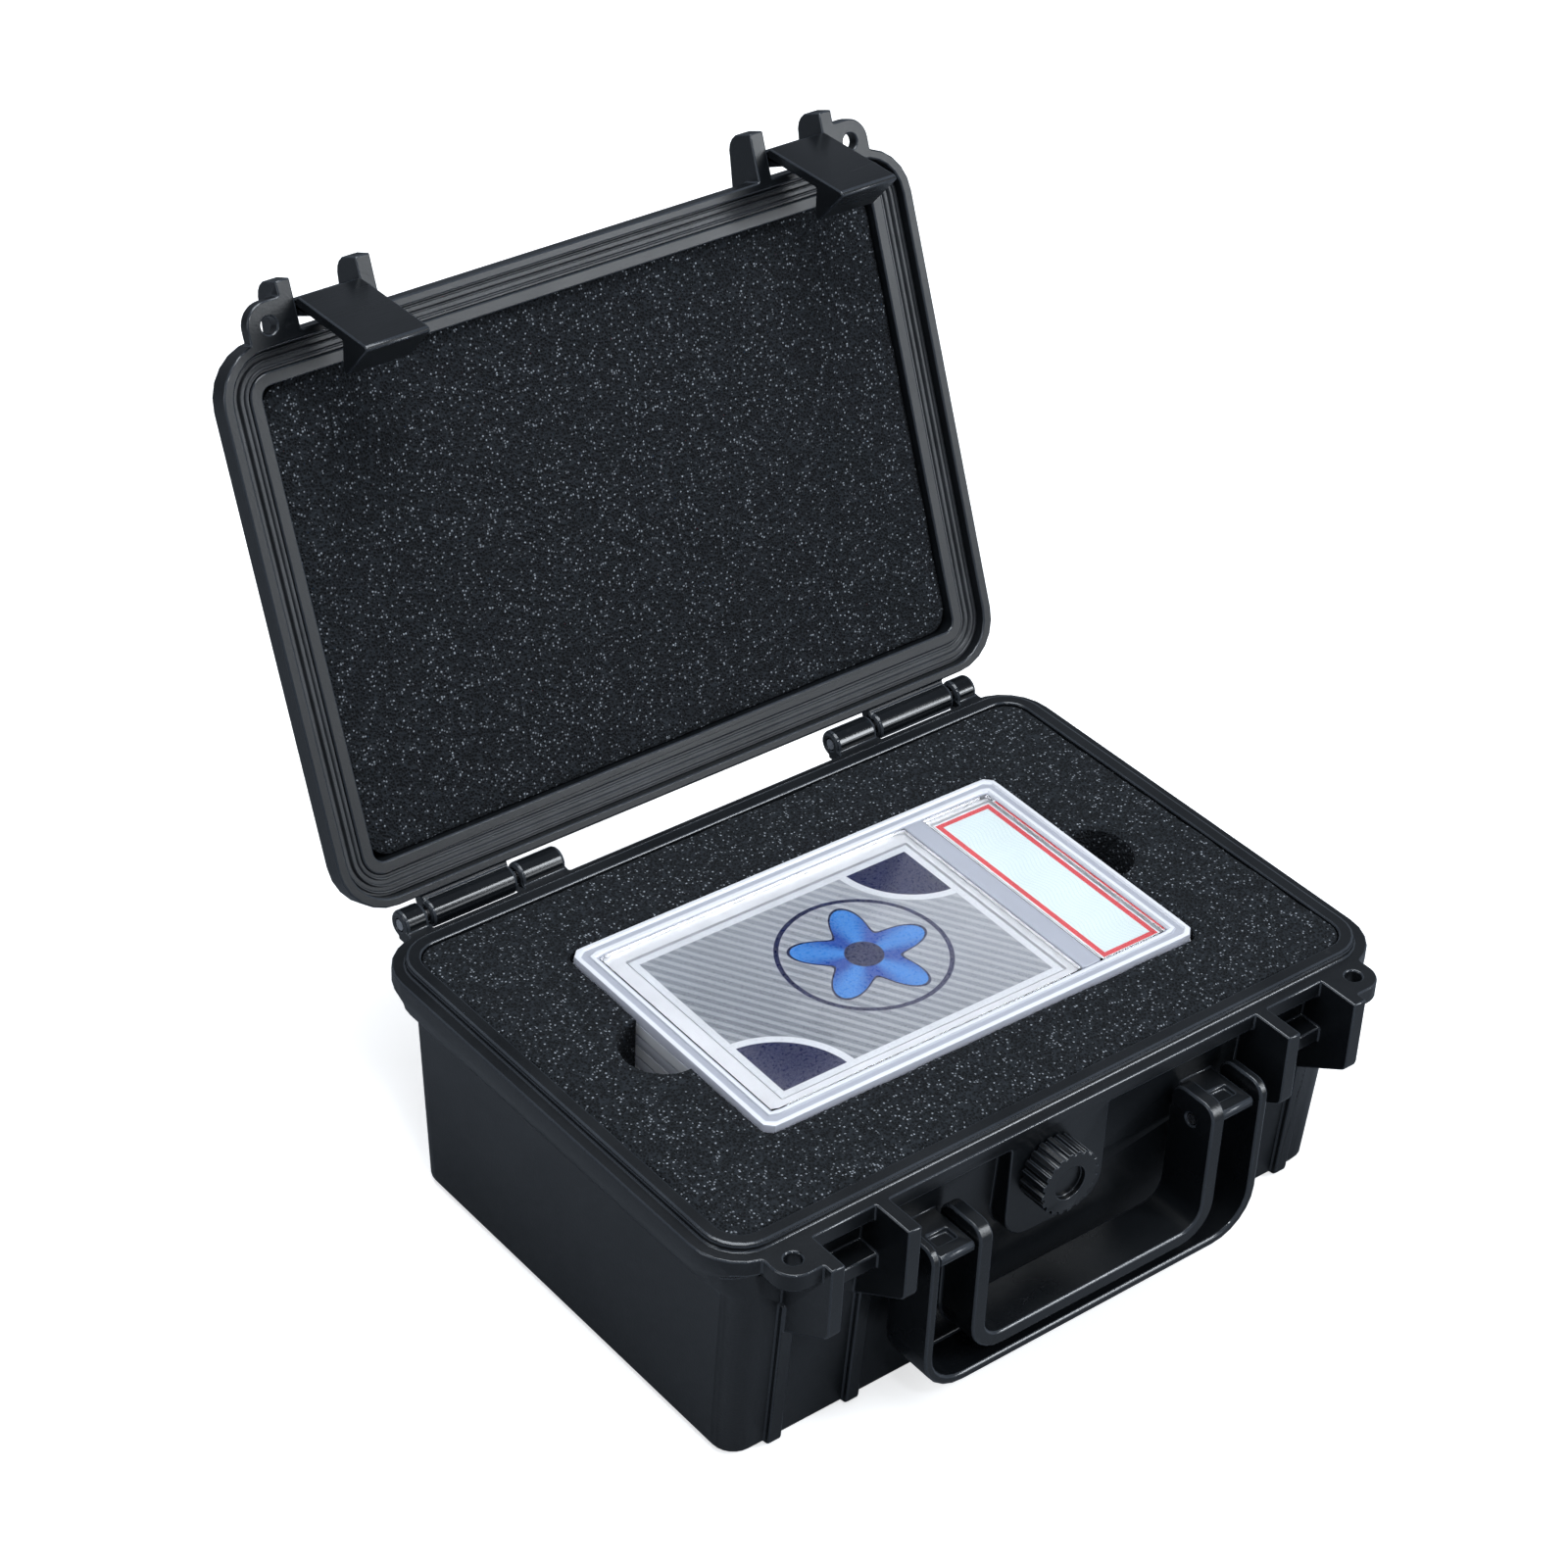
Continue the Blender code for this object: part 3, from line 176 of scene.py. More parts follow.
def newGroup(name, inputs, outputs):
    group = bpy.data.node_groups.new(name, "ShaderNodeTree")
    for side, sockets in (("INPUT", inputs), ("OUTPUT", outputs)):
        for label, kind in sockets.items():
            group.interface.new_socket(label, in_out=side, socket_type="NodeSocket" + kind)
    return group, group.nodes.new("NodeGroupInput"), group.nodes.new("NodeGroupOutput")


# Moulded plastic: broad cloudy shade, fine grain, and rare pale rub marks
mouldedLook = {
    "cloud": (30.0, 4.0, 0.55), "cloudWeight": 0.7, "grain": (2.0, 0.6), "grainWeight": 0.3,
    "shadeRange": (0.3, 0.75), "glossRange": (0.3, 0.7, -0.05, 0.05),
    "rub": (220.0, 6.0, 0.75), "rubRange": (0.62, 0.78), "rubShare": 0.3,
    "rubTint": 0.35, "rubColour": (0.16, 0.165, 0.175), "rubDulling": 0.10,
}


def mouldedGroup():
    look = mouldedLook
    inputs = {"Place": "Vector", "Dark": "Color", "Light": "Color", "Grain Scale": "Float"}
    outputs = {"Colour": "Color", "Gloss": "Float", "Height": "Float"}
    group, entry, leave = newGroup("mouldedPlastic", inputs, outputs)
    given = entry.outputs
    cloud = noise(group, given["Place"], *look["cloud"])
    grain = noise(group, given["Place"], given["Grain Scale"], *look["grain"])
    rubbed = spread(group, noise(group, given["Place"], *look["rub"]), *look["rubRange"])
    rubbed = calc(group, "MULTIPLY", rubbed, look["rubShare"])
    shade = calc(group, "ADD", calc(group, "MULTIPLY", cloud, look["cloudWeight"]),
                 calc(group, "MULTIPLY", grain, look["grainWeight"]))
    colour = blendColours(group, spread(group, shade, *look["shadeRange"]), given["Dark"], given["Light"])
    colour = blendColours(group, calc(group, "MULTIPLY", rubbed, look["rubTint"]), colour, look["rubColour"])
    gloss = calc(group, "ADD", spread(group, cloud, *look["glossRange"]),
                 calc(group, "MULTIPLY", rubbed, look["rubDulling"]))
    group.links.new(colour, leave.inputs["Colour"])
    group.links.new(gloss, leave.inputs["Gloss"])
    group.links.new(grain, leave.inputs["Height"])
    return group


# Open-cell foam: dark pores whose colour is painted shade inside the cells, paler cell walls and bright
# specks of unequal strength
openCellLook = {
    "broad": (260.0, 3.0, 0.6), "broadRange": (0.3, 0.75, 0.6, 1.25), "wallRange": (0.15, 0.75),
    "speckRange": (0.50, 0.15), "strengthRange": (0.0, 1.0, 0.25, 1.0),
}


def openCellGroup():
    look = openCellLook
    inputs = {"Place": "Vector", "Pore": "Color", "Wall": "Color", "Speck": "Color", "Cell Scale": "Float",
              "Speck Share": "Float"}
    outputs = {"Colour": "Color", "Height": "Float"}
    group, entry, leave = newGroup("openCellFoam", inputs, outputs)
    given = entry.outputs
    away, tint = cells(group, given["Place"], given["Cell Scale"])
    broad = noise(group, given["Place"], *look["broad"])
    wall = calc(group, "MULTIPLY", spread(group, away, *look["wallRange"]),
                spread(group, broad, *look["broadRange"]))
    colour = blendColours(group, wall, given["Pore"], given["Wall"])
    split = group.nodes.new("ShaderNodeSeparateColor")
    group.links.new(tint, split.inputs[0])
    picked = calc(group, "LESS_THAN", split.outputs[0], given["Speck Share"])
    speck = calc(group, "MULTIPLY", picked, spread(group, away, *look["speckRange"]))
    speck = calc(group, "MULTIPLY", speck, spread(group, split.outputs[1], *look["strengthRange"]))
    colour = blendColours(group, speck, colour, given["Speck"])
    group.links.new(colour, leave.inputs["Colour"])
    group.links.new(calc(group, "ADD", wall, speck), leave.inputs["Height"])
    return group


moulded = mouldedGroup()
openCell = openCellGroup()


def useGroup(tree, group, values):
    node = tree.nodes.new("ShaderNodeGroup")
    node.node_tree = group
    for label, value in values.items():
        plug(tree, node.inputs[label], value)
    return node.outputs


# Plastics: the case's mouldings, a paler edge plastic whose colour is a painted highlight along rounded
# edges, and the glossier hinge barrels

plasticShared = {"stretch": (1.0, 1.0, 1.0), "depth": 0.00003}
plasticSettings = {
    "case": {"dark": (0.0035, 0.0044, 0.0056), "light": (0.0085, 0.0102, 0.0125), "roughness": 0.34,
             "grain": 1500.0},
    "latch": {"dark": (0.0040, 0.0048, 0.0058), "light": (0.0100, 0.0115, 0.0135), "roughness": 0.26,
              "grain": 1500.0, "stretch": (0.12, 1.0, 1.0)},
    "handle": {"dark": (0.0030, 0.0038, 0.0048), "light": (0.0070, 0.0084, 0.0104), "roughness": 0.28,
               "grain": 1900.0},
    "knob": {"dark": (0.0018, 0.0023, 0.0029), "light": (0.0045, 0.0054, 0.0066), "roughness": 0.30,
             "grain": 1900.0},
    # The edge plastic's paler colour is a painted highlight on the bevelled edges
    "edge": {"dark": (0.020, 0.0235, 0.029), "light": (0.045, 0.051, 0.060), "roughness": 0.17,
             "grain": 1900.0},
    "gloss": {"dark": (0.0030, 0.0038, 0.0048), "light": (0.0075, 0.0090, 0.0110), "roughness": 0.14,
              "grain": 900.0, "depth": 0.000008},
}


def plastic(name):
    values = {**plasticShared, **plasticSettings[name]}
    material, tree, shader = newMaterial(name + "Plastic", values["light"], values["roughness"])
    made = useGroup(tree, moulded, {"Place": objectPlace(tree, values["stretch"]), "Dark": values["dark"],
                                    "Light": values["light"], "Grain Scale": values["grain"]})
    tree.links.new(made["Colour"], shader.inputs["Base Color"])
    tree.links.new(calc(tree, "ADD", made["Gloss"], values["roughness"]), shader.inputs["Roughness"])
    bump(tree, shader, made["Height"], values["depth"])
    return material


# Charcoal foam

# The near-black pore colour is painted shade inside the foam's open cells
foamLook = {
    "pore": (0.0012, 0.0016, 0.0022), "wall": (0.016, 0.0195, 0.024), "speck": (0.36, 0.39, 0.43),
    "cellScale": 1400.0, "speckShare": 0.18, "roughness": 0.95, "shine": 0.25,
    "depth": 0.0005, "strength": 0.9,
}


def foamMaterial():
    look = foamLook
    material, tree, shader = newMaterial("charcoalFoam", look["wall"], look["roughness"])
    made = useGroup(tree, openCell, {"Place": objectPlace(tree), "Pore": look["pore"], "Wall": look["wall"],
                                     "Speck": look["speck"], "Cell Scale": look["cellScale"],
                                     "Speck Share": look["speckShare"]})
    tree.links.new(made["Colour"], shader.inputs["Base Color"])
    shader.inputs["Specular IOR Level"].default_value = look["shine"]
    bump(tree, shader, made["Height"], look["depth"], look["strength"])
    return material


# Rubbers

rubberLook = {
    "cloud": (90.0, 5.0, 0.65), "cloudRange": (0.35, 0.68),
    "fine": (2200.0, 2.0, 0.5), "fineRange": (0.3, 0.7), "unevenness": 0.06, "depth": 0.00002,
}
rubberSettings = {
    "gasketRubber": {"dark": (0.021, 0.023, 0.026), "light": (0.038, 0.041, 0.046), "roughness": 0.38},
    "sealRubber": {"dark": (0.008, 0.008, 0.009), "light": (0.018, 0.018, 0.019), "roughness": 0.42},
}


def rubber(name):
    look, values = rubberLook, rubberSettings[name]
    roughness = values["roughness"]
    material, tree, shader = newMaterial(name, values["light"], roughness)
    place = objectPlace(tree)
    cloud = spread(tree, noise(tree, place, *look["cloud"]), *look["cloudRange"])
    fine = noise(tree, place, *look["fine"])
    tree.links.new(blendColours(tree, cloud, values["dark"], values["light"]), shader.inputs["Base Color"])
    smoothest, roughest = roughness - look["unevenness"], roughness + look["unevenness"]
    uneven = spread(tree, fine, *look["fineRange"], smoothest, roughest)
    tree.links.new(uneven, shader.inputs["Roughness"])
    bump(tree, shader, fine, look["depth"])
    return material


# Metals, brushed along their length

metalLook = {
    "brushed": (900.0, 3.0, 0.6), "range": (0.3, 0.7), "dark": 0.72, "smoother": 0.08, "rougher": 0.10,
    "depth": 0.00001,
}
metalSettings = {
    "pinSteel": {"colour": (0.60, 0.60, 0.62), "roughness": 0.28, "stretch": (0.1, 1.0, 1.0)},
    "bushBrass": {"colour": (0.72, 0.56, 0.30), "roughness": 0.32, "stretch": (1.0, 0.1, 1.0)},
}


def metal(name):
    look, values = metalLook, metalSettings[name]
    colour, roughness = values["colour"], values["roughness"]
    material, tree, shader = newMaterial(name, colour, roughness, metallic=1.0)
    brushed = noise(tree, objectPlace(tree, values["stretch"]), *look["brushed"])
    shade = blendColours(tree, spread(tree, brushed, *look["range"]), darker(colour, look["dark"]), colour)
    tree.links.new(shade, shader.inputs["Base Color"])
    uneven = spread(tree, brushed, *look["range"], roughness - look["smoother"], roughness + look["rougher"])
    tree.links.new(uneven, shader.inputs["Roughness"])
    bump(tree, shader, brushed, look["depth"])
    return material


# Slab plastics: smudged and lightly scratched, clear over the prints and frosted round them

slabHalf = (0.06825, 0.04125)  # half the slab's length and width
slabTurn = math.radians(-0.95)  # the stack's slight turn in its pocket
slabLook = {
    "smudge": (60.0, 5.0, 0.7), "smudgeRange": (0.35, 0.75), "smudgeDulling": 0.05, "shadeRange": (0.3, 0.8),
    "dark": 0.93, "scratch": (320.0, 3.0, 0.7), "scratchStretch": (1.0, 14.0, 1.0), "scratchTurn": 0.6,
    "scratchRange": (0.62, 0.74), "scratchDulling": 0.10, "depth": 0.00002,
}
slabSettings = {
    "slabClear": {"colour": (0.985, 0.988, 0.995), "roughness": 0.035, "transmission": 1.0, "ior": 1.42},
    "slabFrost": {"colour": (0.66, 0.68, 0.755), "roughness": 0.28, "transmission": 0.45, "ior": 1.40},
    "slabRidge": {"colour": (0.88, 0.89, 0.93), "roughness": 0.28, "transmission": 0.15, "ior": 1.45},
    "slabBack": {"colour": (0.86, 0.87, 0.91), "roughness": 0.28, "transmission": 0.10, "ior": 1.45},
}


def slabPlastic(name):
    look, values = slabLook, slabSettings[name]
    colour, roughness = values["colour"], values["roughness"]
    material, tree, shader = newMaterial(name, colour, roughness)
    shader.inputs["Transmission Weight"].default_value = values["transmission"]
    shader.inputs["IOR"].default_value = values["ior"]
    smudge = noise(tree, objectPlace(tree), *look["smudge"])
    scratch = noise(tree, objectPlace(tree, look["scratchStretch"], look["scratchTurn"]), *look["scratch"])
    worn = calc(tree, "MULTIPLY", spread(tree, scratch, *look["scratchRange"]), look["scratchDulling"])
    dulled = spread(tree, smudge, *look["smudgeRange"], roughness, roughness + look["smudgeDulling"])
    tree.links.new(calc(tree, "ADD", dulled, worn), shader.inputs["Roughness"])
    share = spread(tree, smudge, *look["shadeRange"])
    shade = blendColours(tree, share, colour, darker(colour, look["dark"]))
    tree.links.new(shade, shader.inputs["Base Color"])
    bump(tree, shader, smudge, look["depth"])
    return material


# Helpers for the prints, in the slab's own directions

def printPlace(tree):
    split = tree.nodes.new("ShaderNodeSeparateXYZ")
    tree.links.new(objectPlace(tree, turn=-slabTurn), split.inputs[0])
    return split.outputs[0], split.outputs[1]


# Distance from a middle, and its two parts
def reach(tree, x, y, middle):
    across = calc(tree, "SUBTRACT", x, middle[0])
    along = calc(tree, "SUBTRACT", y, middle[1])
    square = calc(tree, "ADD", calc(tree, "MULTIPLY", across, across), calc(tree, "MULTIPLY", along, along))
    return calc(tree, "SQRT", square), across, along


# Distance in from the print's nearest side
def rimDistance(tree, x, y, art):
    sides = []
    for value, middle, half in zip((x, y), art["middle"], art["half"]):
        away = calc(tree, "ABSOLUTE", calc(tree, "SUBTRACT", value, middle))
        sides.append(calc(tree, "SUBTRACT", half, away))
    return calc(tree, "MINIMUM", *sides)


# Ink where a value lies under a limit, with a soft edge inside it
def inkUnder(tree, colour, value, limit, soft, ink):
    return blendColours(tree, spread(tree, value, limit, limit - soft), colour, ink)


def finishPrint(tree, shader, colour, grain, art):
    tree.links.new(colour, shader.inputs["Base Color"])
    tree.links.new(spread(tree, grain, *art["finishRange"]), shader.inputs["Roughness"])
    bump(tree, shader, grain, art["depth"])


# Card print, a made-up design: pale diagonal rays, two dark arcs, a ring and a five-lobed blue rosette
cardArt = {
    "middle": (-0.0123, 0.0), "half": (0.04445, 0.03175), "border": 0.0021, "soft": 0.00012,
    "rayPitch": 1900.0, "raySlant": 0.6, "rayRange": (-0.2, 0.5), "rayShare": 0.30,
    "sweepRange": (-0.07, 0.05), "arcReach": 0.0215, "arcBand": 0.0022,
    "ringReach": 0.0222, "ringWidth": 0.0007,
    "rosette": (-0.0055, 0.0015), "rosetteReach": 0.0140, "lobe": 0.0048, "lobes": 5.0,
    "petalRange": (-0.6, 0.9), "heart": 0.0052, "heartSoft": 0.0002, "outline": 0.0008, "outlineSoft": 0.0001,
    "white": (0.74, 0.76, 0.80), "pale": (0.37, 0.39, 0.43), "grey": (0.165, 0.182, 0.215),
    "navy": (0.008, 0.013, 0.070), "blue": (0.009, 0.068, 0.36), "sky": (0.050, 0.235, 0.64),
    "speckle": (1400.0, 2.0, 0.5), "speckleRange": (0.45, 0.85, 0.0, 0.25),
    "roughness": 0.32, "finishRange": (0.3, 0.7, 0.24, 0.38), "depth": 0.00001,
}


def cardMaterial():
    art = cardArt
    soft = art["soft"]
    material, tree, shader = newMaterial("cardPrint", art["grey"], art["roughness"])
    x, y = printPlace(tree)
    slant = calc(tree, "ADD", x, calc(tree, "MULTIPLY", y, art["raySlant"]))
    rays = spread(tree, calc(tree, "SINE", calc(tree, "MULTIPLY", slant, art["rayPitch"])), *art["rayRange"])
    sweep = spread(tree, calc(tree, "ADD", x, y), *art["sweepRange"])
    colour = blendColours(tree, sweep, art["grey"], art["pale"])
    colour = blendColours(tree, calc(tree, "MULTIPLY", rays, art["rayShare"]), colour, art["white"])
    for side in (-1, 1):
        corner = [middle + side * half for middle, half in zip(art["middle"], art["half"])]
        away = reach(tree, x, y, corner)[0]
        colour = inkUnder(tree, colour, away, art["arcReach"] + art["arcBand"], soft, art["white"])
        colour = inkUnder(tree, colour, away, art["arcReach"], soft, art["navy"])
    away, across, along = reach(tree, x, y, art["rosette"])
    ring = calc(tree, "ABSOLUTE", calc(tree, "SUBTRACT", away, art["ringReach"]))
    colour = inkUnder(tree, colour, ring, art["ringWidth"], soft, art["navy"])
    turn = calc(tree, "ARCTAN2", along, across)
    wave = calc(tree, "COSINE", calc(tree, "MULTIPLY", turn, art["lobes"]))
    edge = calc(tree, "ADD", calc(tree, "MULTIPLY", wave, art["lobe"]), art["rosetteReach"])
    inside = calc(tree, "SUBTRACT", away, edge)
    petal = blendColours(tree, spread(tree, wave, *art["petalRange"]), art["blue"], art["sky"])
    petal = inkUnder(tree, petal, away, art["heart"], art["heartSoft"], art["navy"])
    colour = inkUnder(tree, colour, inside, art["outline"], art["outlineSoft"], art["navy"])
    colour = inkUnder(tree, colour, inside, 0.0, soft, petal)
    colour = inkUnder(tree, colour, rimDistance(tree, x, y, art), art["border"], soft, art["white"])
    speckle = noise(tree, objectPlace(tree), *art["speckle"])
    colour = blendColours(tree, spread(tree, speckle, *art["speckleRange"]), colour, art["grey"])
    finishPrint(tree, shader, colour, speckle, art)
    return material


# Label print: a pale field with wavy hair lines inside a red frame
labelArt = {
    "middle": (0.0529, 0.0), "half": (0.00965, 0.0343), "margin": 0.0006, "frame": 0.0015, "soft": 0.00010,
    "bendPitch": 420.0, "bendHeight": 0.0012, "linePitch": 5200.0, "lineRange": (0.6, 0.95, 0.0, 0.55),
    "field": (0.76, 0.88, 0.90), "line": (0.60, 0.75, 0.77), "red": (0.72, 0.035, 0.050),
    "paper": (0.82, 0.85, 0.87), "fibre": (1500.0, 3.0, 0.6),
    "roughness": 0.40, "finishRange": (0.3, 0.7, 0.34, 0.46), "depth": 0.00001,
}


def labelMaterial():
    art = labelArt
    soft = art["soft"]
    material, tree, shader = newMaterial("labelPrint", art["field"], art["roughness"])
    x, y = printPlace(tree)
    bend = calc(tree, "SINE", calc(tree, "MULTIPLY", y, art["bendPitch"]))
    bent = calc(tree, "ADD", x, calc(tree, "MULTIPLY", bend, art["bendHeight"]))
    lines = calc(tree, "SINE", calc(tree, "MULTIPLY", bent, art["linePitch"]))
    colour = blendColours(tree, spread(tree, lines, *art["lineRange"]), art["field"], art["line"])
    rim = rimDistance(tree, x, y, art)
    colour = inkUnder(tree, colour, rim, art["margin"] + art["frame"], soft, art["red"])
    colour = inkUnder(tree, colour, rim, art["margin"], soft, art["paper"])
    finishPrint(tree, shader, colour, noise(tree, objectPlace(tree), *art["fibre"]), art)
    return material


casePlastic = plastic("case")
latchPlastic = plastic("latch")
handlePlastic = plastic("handle")
knobPlastic = plastic("knob")
paintedHighlightPlastic = plastic("edge")
glossPlastic = plastic("gloss")
charcoalFoam = foamMaterial()
gasketRubber = rubber("gasketRubber")
sealRubber = rubber("sealRubber")
pinSteel = metal("pinSteel")
bushBrass = metal("bushBrass")
slabClear = slabPlastic("slabClear")
slabFrost = slabPlastic("slabFrost")
slabRidge = slabPlastic("slabRidge")
slabBack = slabPlastic("slabBack")
cardPrint = cardMaterial()
labelPrint = labelMaterial()
print("materials made")


# Shape helpers

lidJoint = next(joint for joint in frame["joints"] if joint["name"] == "lid_hinge")
hingePlace = np.array(lidJoint["pos_m"])
lidOpen = math.radians(lidJoint["range_deg"][1])


def nodePoints(name):
    mesh = frame["nodes"][name].data
    points = np.empty(len(mesh.vertices) * 3)
    mesh.vertices.foreach_get("co", points)
    return points.reshape(-1, 3)


# Turns points about the hinge: sign 1 shuts the lid, -1 opens it again
def swingLid(points, sign):
    turned = points - hingePlace
    cos, sin = math.cos(lidOpen), sign * math.sin(lidOpen)
    y = turned[..., 1] * cos - turned[..., 2] * sin
    z = turned[..., 1] * sin + turned[..., 2] * cos
    return np.stack([turned[..., 0], y, z], axis=-1) + hingePlace


# Evenly spaced points along a path, by its running length
def respace(path, count):
    steps = np.linalg.norm(np.diff(path, axis=0), axis=1)
    length = np.concatenate([[0.0], np.cumsum(steps)])
    wanted = np.linspace(0.0, length[-1], count + 1)[:-1]
    return np.stack([np.interp(wanted, length, path[:, 0]), np.interp(wanted, length, path[:, 1])], axis=1)


# Points of a quarter arc from +X to +Y
def arcPoints(middle, radius, count=16):
    turns = np.radians(np.linspace(0, 90, count))
    return np.stack([middle[0] + radius * np.cos(turns), middle[1] + radius * np.sin(turns)], axis=1)


# A quarter outline from +X to +Y, mirrored into a closed ring that runs anticlockwise from +X
def mirrorQuarter(quarter, perQuarter):
    first = respace(quarter, perQuarter)
    second = respace(quarter[::-1] * (-1, 1), perQuarter)
    return np.concatenate([first, second, -first, -second])


def roundedRing(halfX, halfY, corner, perQuarter):
    arc = arcPoints((halfX - corner, halfY - corner), corner)
    return mirrorQuarter(np.concatenate([[[halfX, 0.0]], arc, [[0.0, halfY]]]), perQuarter)


def turnRing(ring, angle):
    cos, sin = math.cos(angle), math.sin(angle)
    return np.stack([ring[:, 0] * cos - ring[:, 1] * sin, ring[:, 0] * sin + ring[:, 1] * cos], axis=1)


def atHeight(ring, z):
    return np.column_stack([ring, np.full(len(ring), z)])


# Soft unevenness: sine waves in fixed random directions, added up and mostly between -1 and 1
def ripple(points, wavelength, seed, waves=9):
    random = np.random.default_rng(seed)
    ways = random.normal(size=(waves, 3))
    ways *= 2 * math.pi / wavelength / np.linalg.norm(ways, axis=1, keepdims=True)
    phases = random.uniform(0, 2 * math.pi, waves)
    return np.sin(points @ ways.T + phases).mean(axis=-1) * 2


# Faces of a grid of points, rows by ring places: rows join end to end, or both ends are capped
def gridFaces(points, joined, first=0):
    rows, count = points.shape[:2]
    index = np.arange(rows * count).reshape(rows, count) + first
    lower = index if joined else index[:-1]
    upper = np.roll(index, -1, axis=0) if joined else index[1:]
    quads = np.stack([lower, np.roll(lower, -1, axis=1), np.roll(upper, -1, axis=1), upper], axis=-1)
    faces = quads.reshape(-1, 4).tolist()
    if not joined:
        faces += [index[0][::-1].tolist(), index[-1].tolist()]
    return faces


# Greatest angle in degrees that is still shaded smooth
smoothAngles = {"skin": 50.0, "rounded": 32.0, "cover": 35.0}


def finishPiece(name, mesh, body, materials, smoothAngle):
    bm = bmesh.new()
    bm.from_mesh(mesh)
    bmesh.ops.recalc_face_normals(bm, faces=bm.faces)
    bm.to_mesh(mesh)
    bm.free()
    for material in materials:
        mesh.materials.append(material)
    mesh.shade_smooth()
    mesh.set_sharp_from_angle(angle=math.radians(smoothAngle))
    made = bpy.data.objects.new(name, mesh)
    bpy.context.scene.collection.objects.link(made)
    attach(made, body)
    return made


def skin(name, points, body, material, joined):
    mesh = bpy.data.meshes.new(name)
    mesh.from_pydata(points.reshape(-1, 3).tolist(), [], gridFaces(points, joined))
    return finishPiece(name, mesh, body, [material], smoothAngles["skin"])


# Rounded edges: a merged copy of a CAD node with a narrow bevel, whose faces get the paler edge plastic, a
# painted highlight along the edges

edgeShape = {
    "merge": 0.000002, "flatAngle": 0.6, "bevelAngle": 38.0, "segments": 2, "highlightIndex": 1, "barrelIndex": 2,
    "barrelReach": 0.0040,
}
edgeSettings = {
    "base_shell": {"body": "base", "slot": "black_plastic", "material": casePlastic, "width": 0.00042},
    "lid_shell": {"body": "lid", "slot": "black_plastic", "material": casePlastic, "width": 0.00042},
    "handle": {"body": "handle", "slot": "handle_plastic", "material": handlePlastic, "width": 0.00060},
    "latch_left": {"body": "latch_left", "slot": "latch_plastic", "material": latchPlastic, "width": 0.00040},
    "latch_right": {"body": "latch_right", "slot": "latch_plastic", "material": latchPlastic,
                    "width": 0.00040},
    "valve_knob": {"body": "valve", "slot": "knob_plastic", "material": knobPlastic, "width": 0.00018},
}


# Faces on the hinge's barrels, found by their distance from its axis: they get the glossier plastic
def barrelFaces(mesh):
    centres = np.empty(len(mesh.polygons) * 3)
    mesh.polygons.foreach_get("center", centres)
    away = centres.reshape(-1, 3)[:, 1:] - hingePlace[1:]
    return np.linalg.norm(away, axis=1) < edgeShape["barrelReach"]


def roundEdges(node, settings):
    s = edgeShape
    mesh = frame["nodes"][node].data.copy()
    mesh.name = node + "Rounded"
    mesh.materials.clear()
    bm = bmesh.new()
    bm.from_mesh(mesh)
    bmesh.ops.remove_doubles(bm, verts=bm.verts, dist=s["merge"])
    bmesh.ops.dissolve_limit(bm, angle_limit=math.radians(s["flatAngle"]), verts=bm.verts, edges=bm.edges)
    bm.to_mesh(mesh)
    bm.free()
    kinds = np.where(barrelFaces(mesh), s["barrelIndex"], 0).astype(np.int32)
    mesh.polygons.foreach_set("material_index", kinds)
    materials = [settings["material"], paintedHighlightPlastic, glossPlastic]
    piece = finishPiece(node + "Rounded", mesh, settings["body"], materials,
                        smoothAngles["rounded"])
    bevel = piece.modifiers.new("roundedEdges", "BEVEL")
    bevel.width = settings["width"]
    bevel.segments = s["segments"]
    bevel.limit_method = "ANGLE"
    bevel.angle_limit = math.radians(s["bevelAngle"])
    bevel.use_clamp_overlap = False
    # Bevel faces take the paler edge plastic: a painted highlight along every rounded edge
    bevel.material = s["highlightIndex"]
    bevel.miter_outer = "MITER_ARC"
    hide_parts(node)


for node, settings in edgeSettings.items():
    roundEdges(node, settings)
print("rounded edges made")


# Foam

foamShape = {
    "perQuarter": 150, "corner": 0.0065, "levelDecimals": 4, "levelGap": 0.0003,
    "edgeDrop": 0.0007, "edgeReach": 0.0010,
    "grainHeight": 0.00016, "grainLength": 0.0016, "grainSeed": 3,
    "swellHeight": 0.00020, "swellLength": 0.019, "swellSeed": 5,
    "blockSteps": 7, "faceRings": 64, "faceEase": 1.25, "seam": 0.002, "seamCorner": 0.0018,
    "pocketGap": 0.0006, "pocketCorner": 0.0030, "cornerPoints": 8,
    "notch": 0.0113, "notchPoints": 24, "pocketSteps": 5, "lipShare": 0.08, "lipRings": 5, "topRings": 34,
    "wallRings": 30, "wallShare": 0.5, "wallSeed": 8,
}


# Height and half sizes of a CAD block at each level where its outline turns
def heightLevels(points):
    s = foamShape
    heights = np.unique(np.round(points[:, 2], s["levelDecimals"]))
    heights = heights[np.concatenate([[True], np.diff(heights) > s["levelGap"]])]
    levels = []
    for z in heights:
        near = points[np.abs(points[:, 2] - z) < s["levelGap"]]
        levels.append((z, np.abs(near[:, 0]).max(), np.abs(near[:, 1]).max()))
    return levels


# Unevenness of a cut face, sunk so that hardly anything of it stands over the face
def rough(points):
    s = foamShape
    grain = s["grainHeight"] * ripple(points, s["grainLength"], s["grainSeed"])
    swell = s["swellHeight"] * ripple(points, s["swellLength"], s["swellSeed"])
    return grain + swell - s["grainHeight"] - s["swellHeight"]


# Height lost towards an edge: a soft roll-over, falling off with distance
def edgeRoll(distance):
    return foamShape["edgeDrop"] * np.exp(-distance / foamShape["edgeReach"])


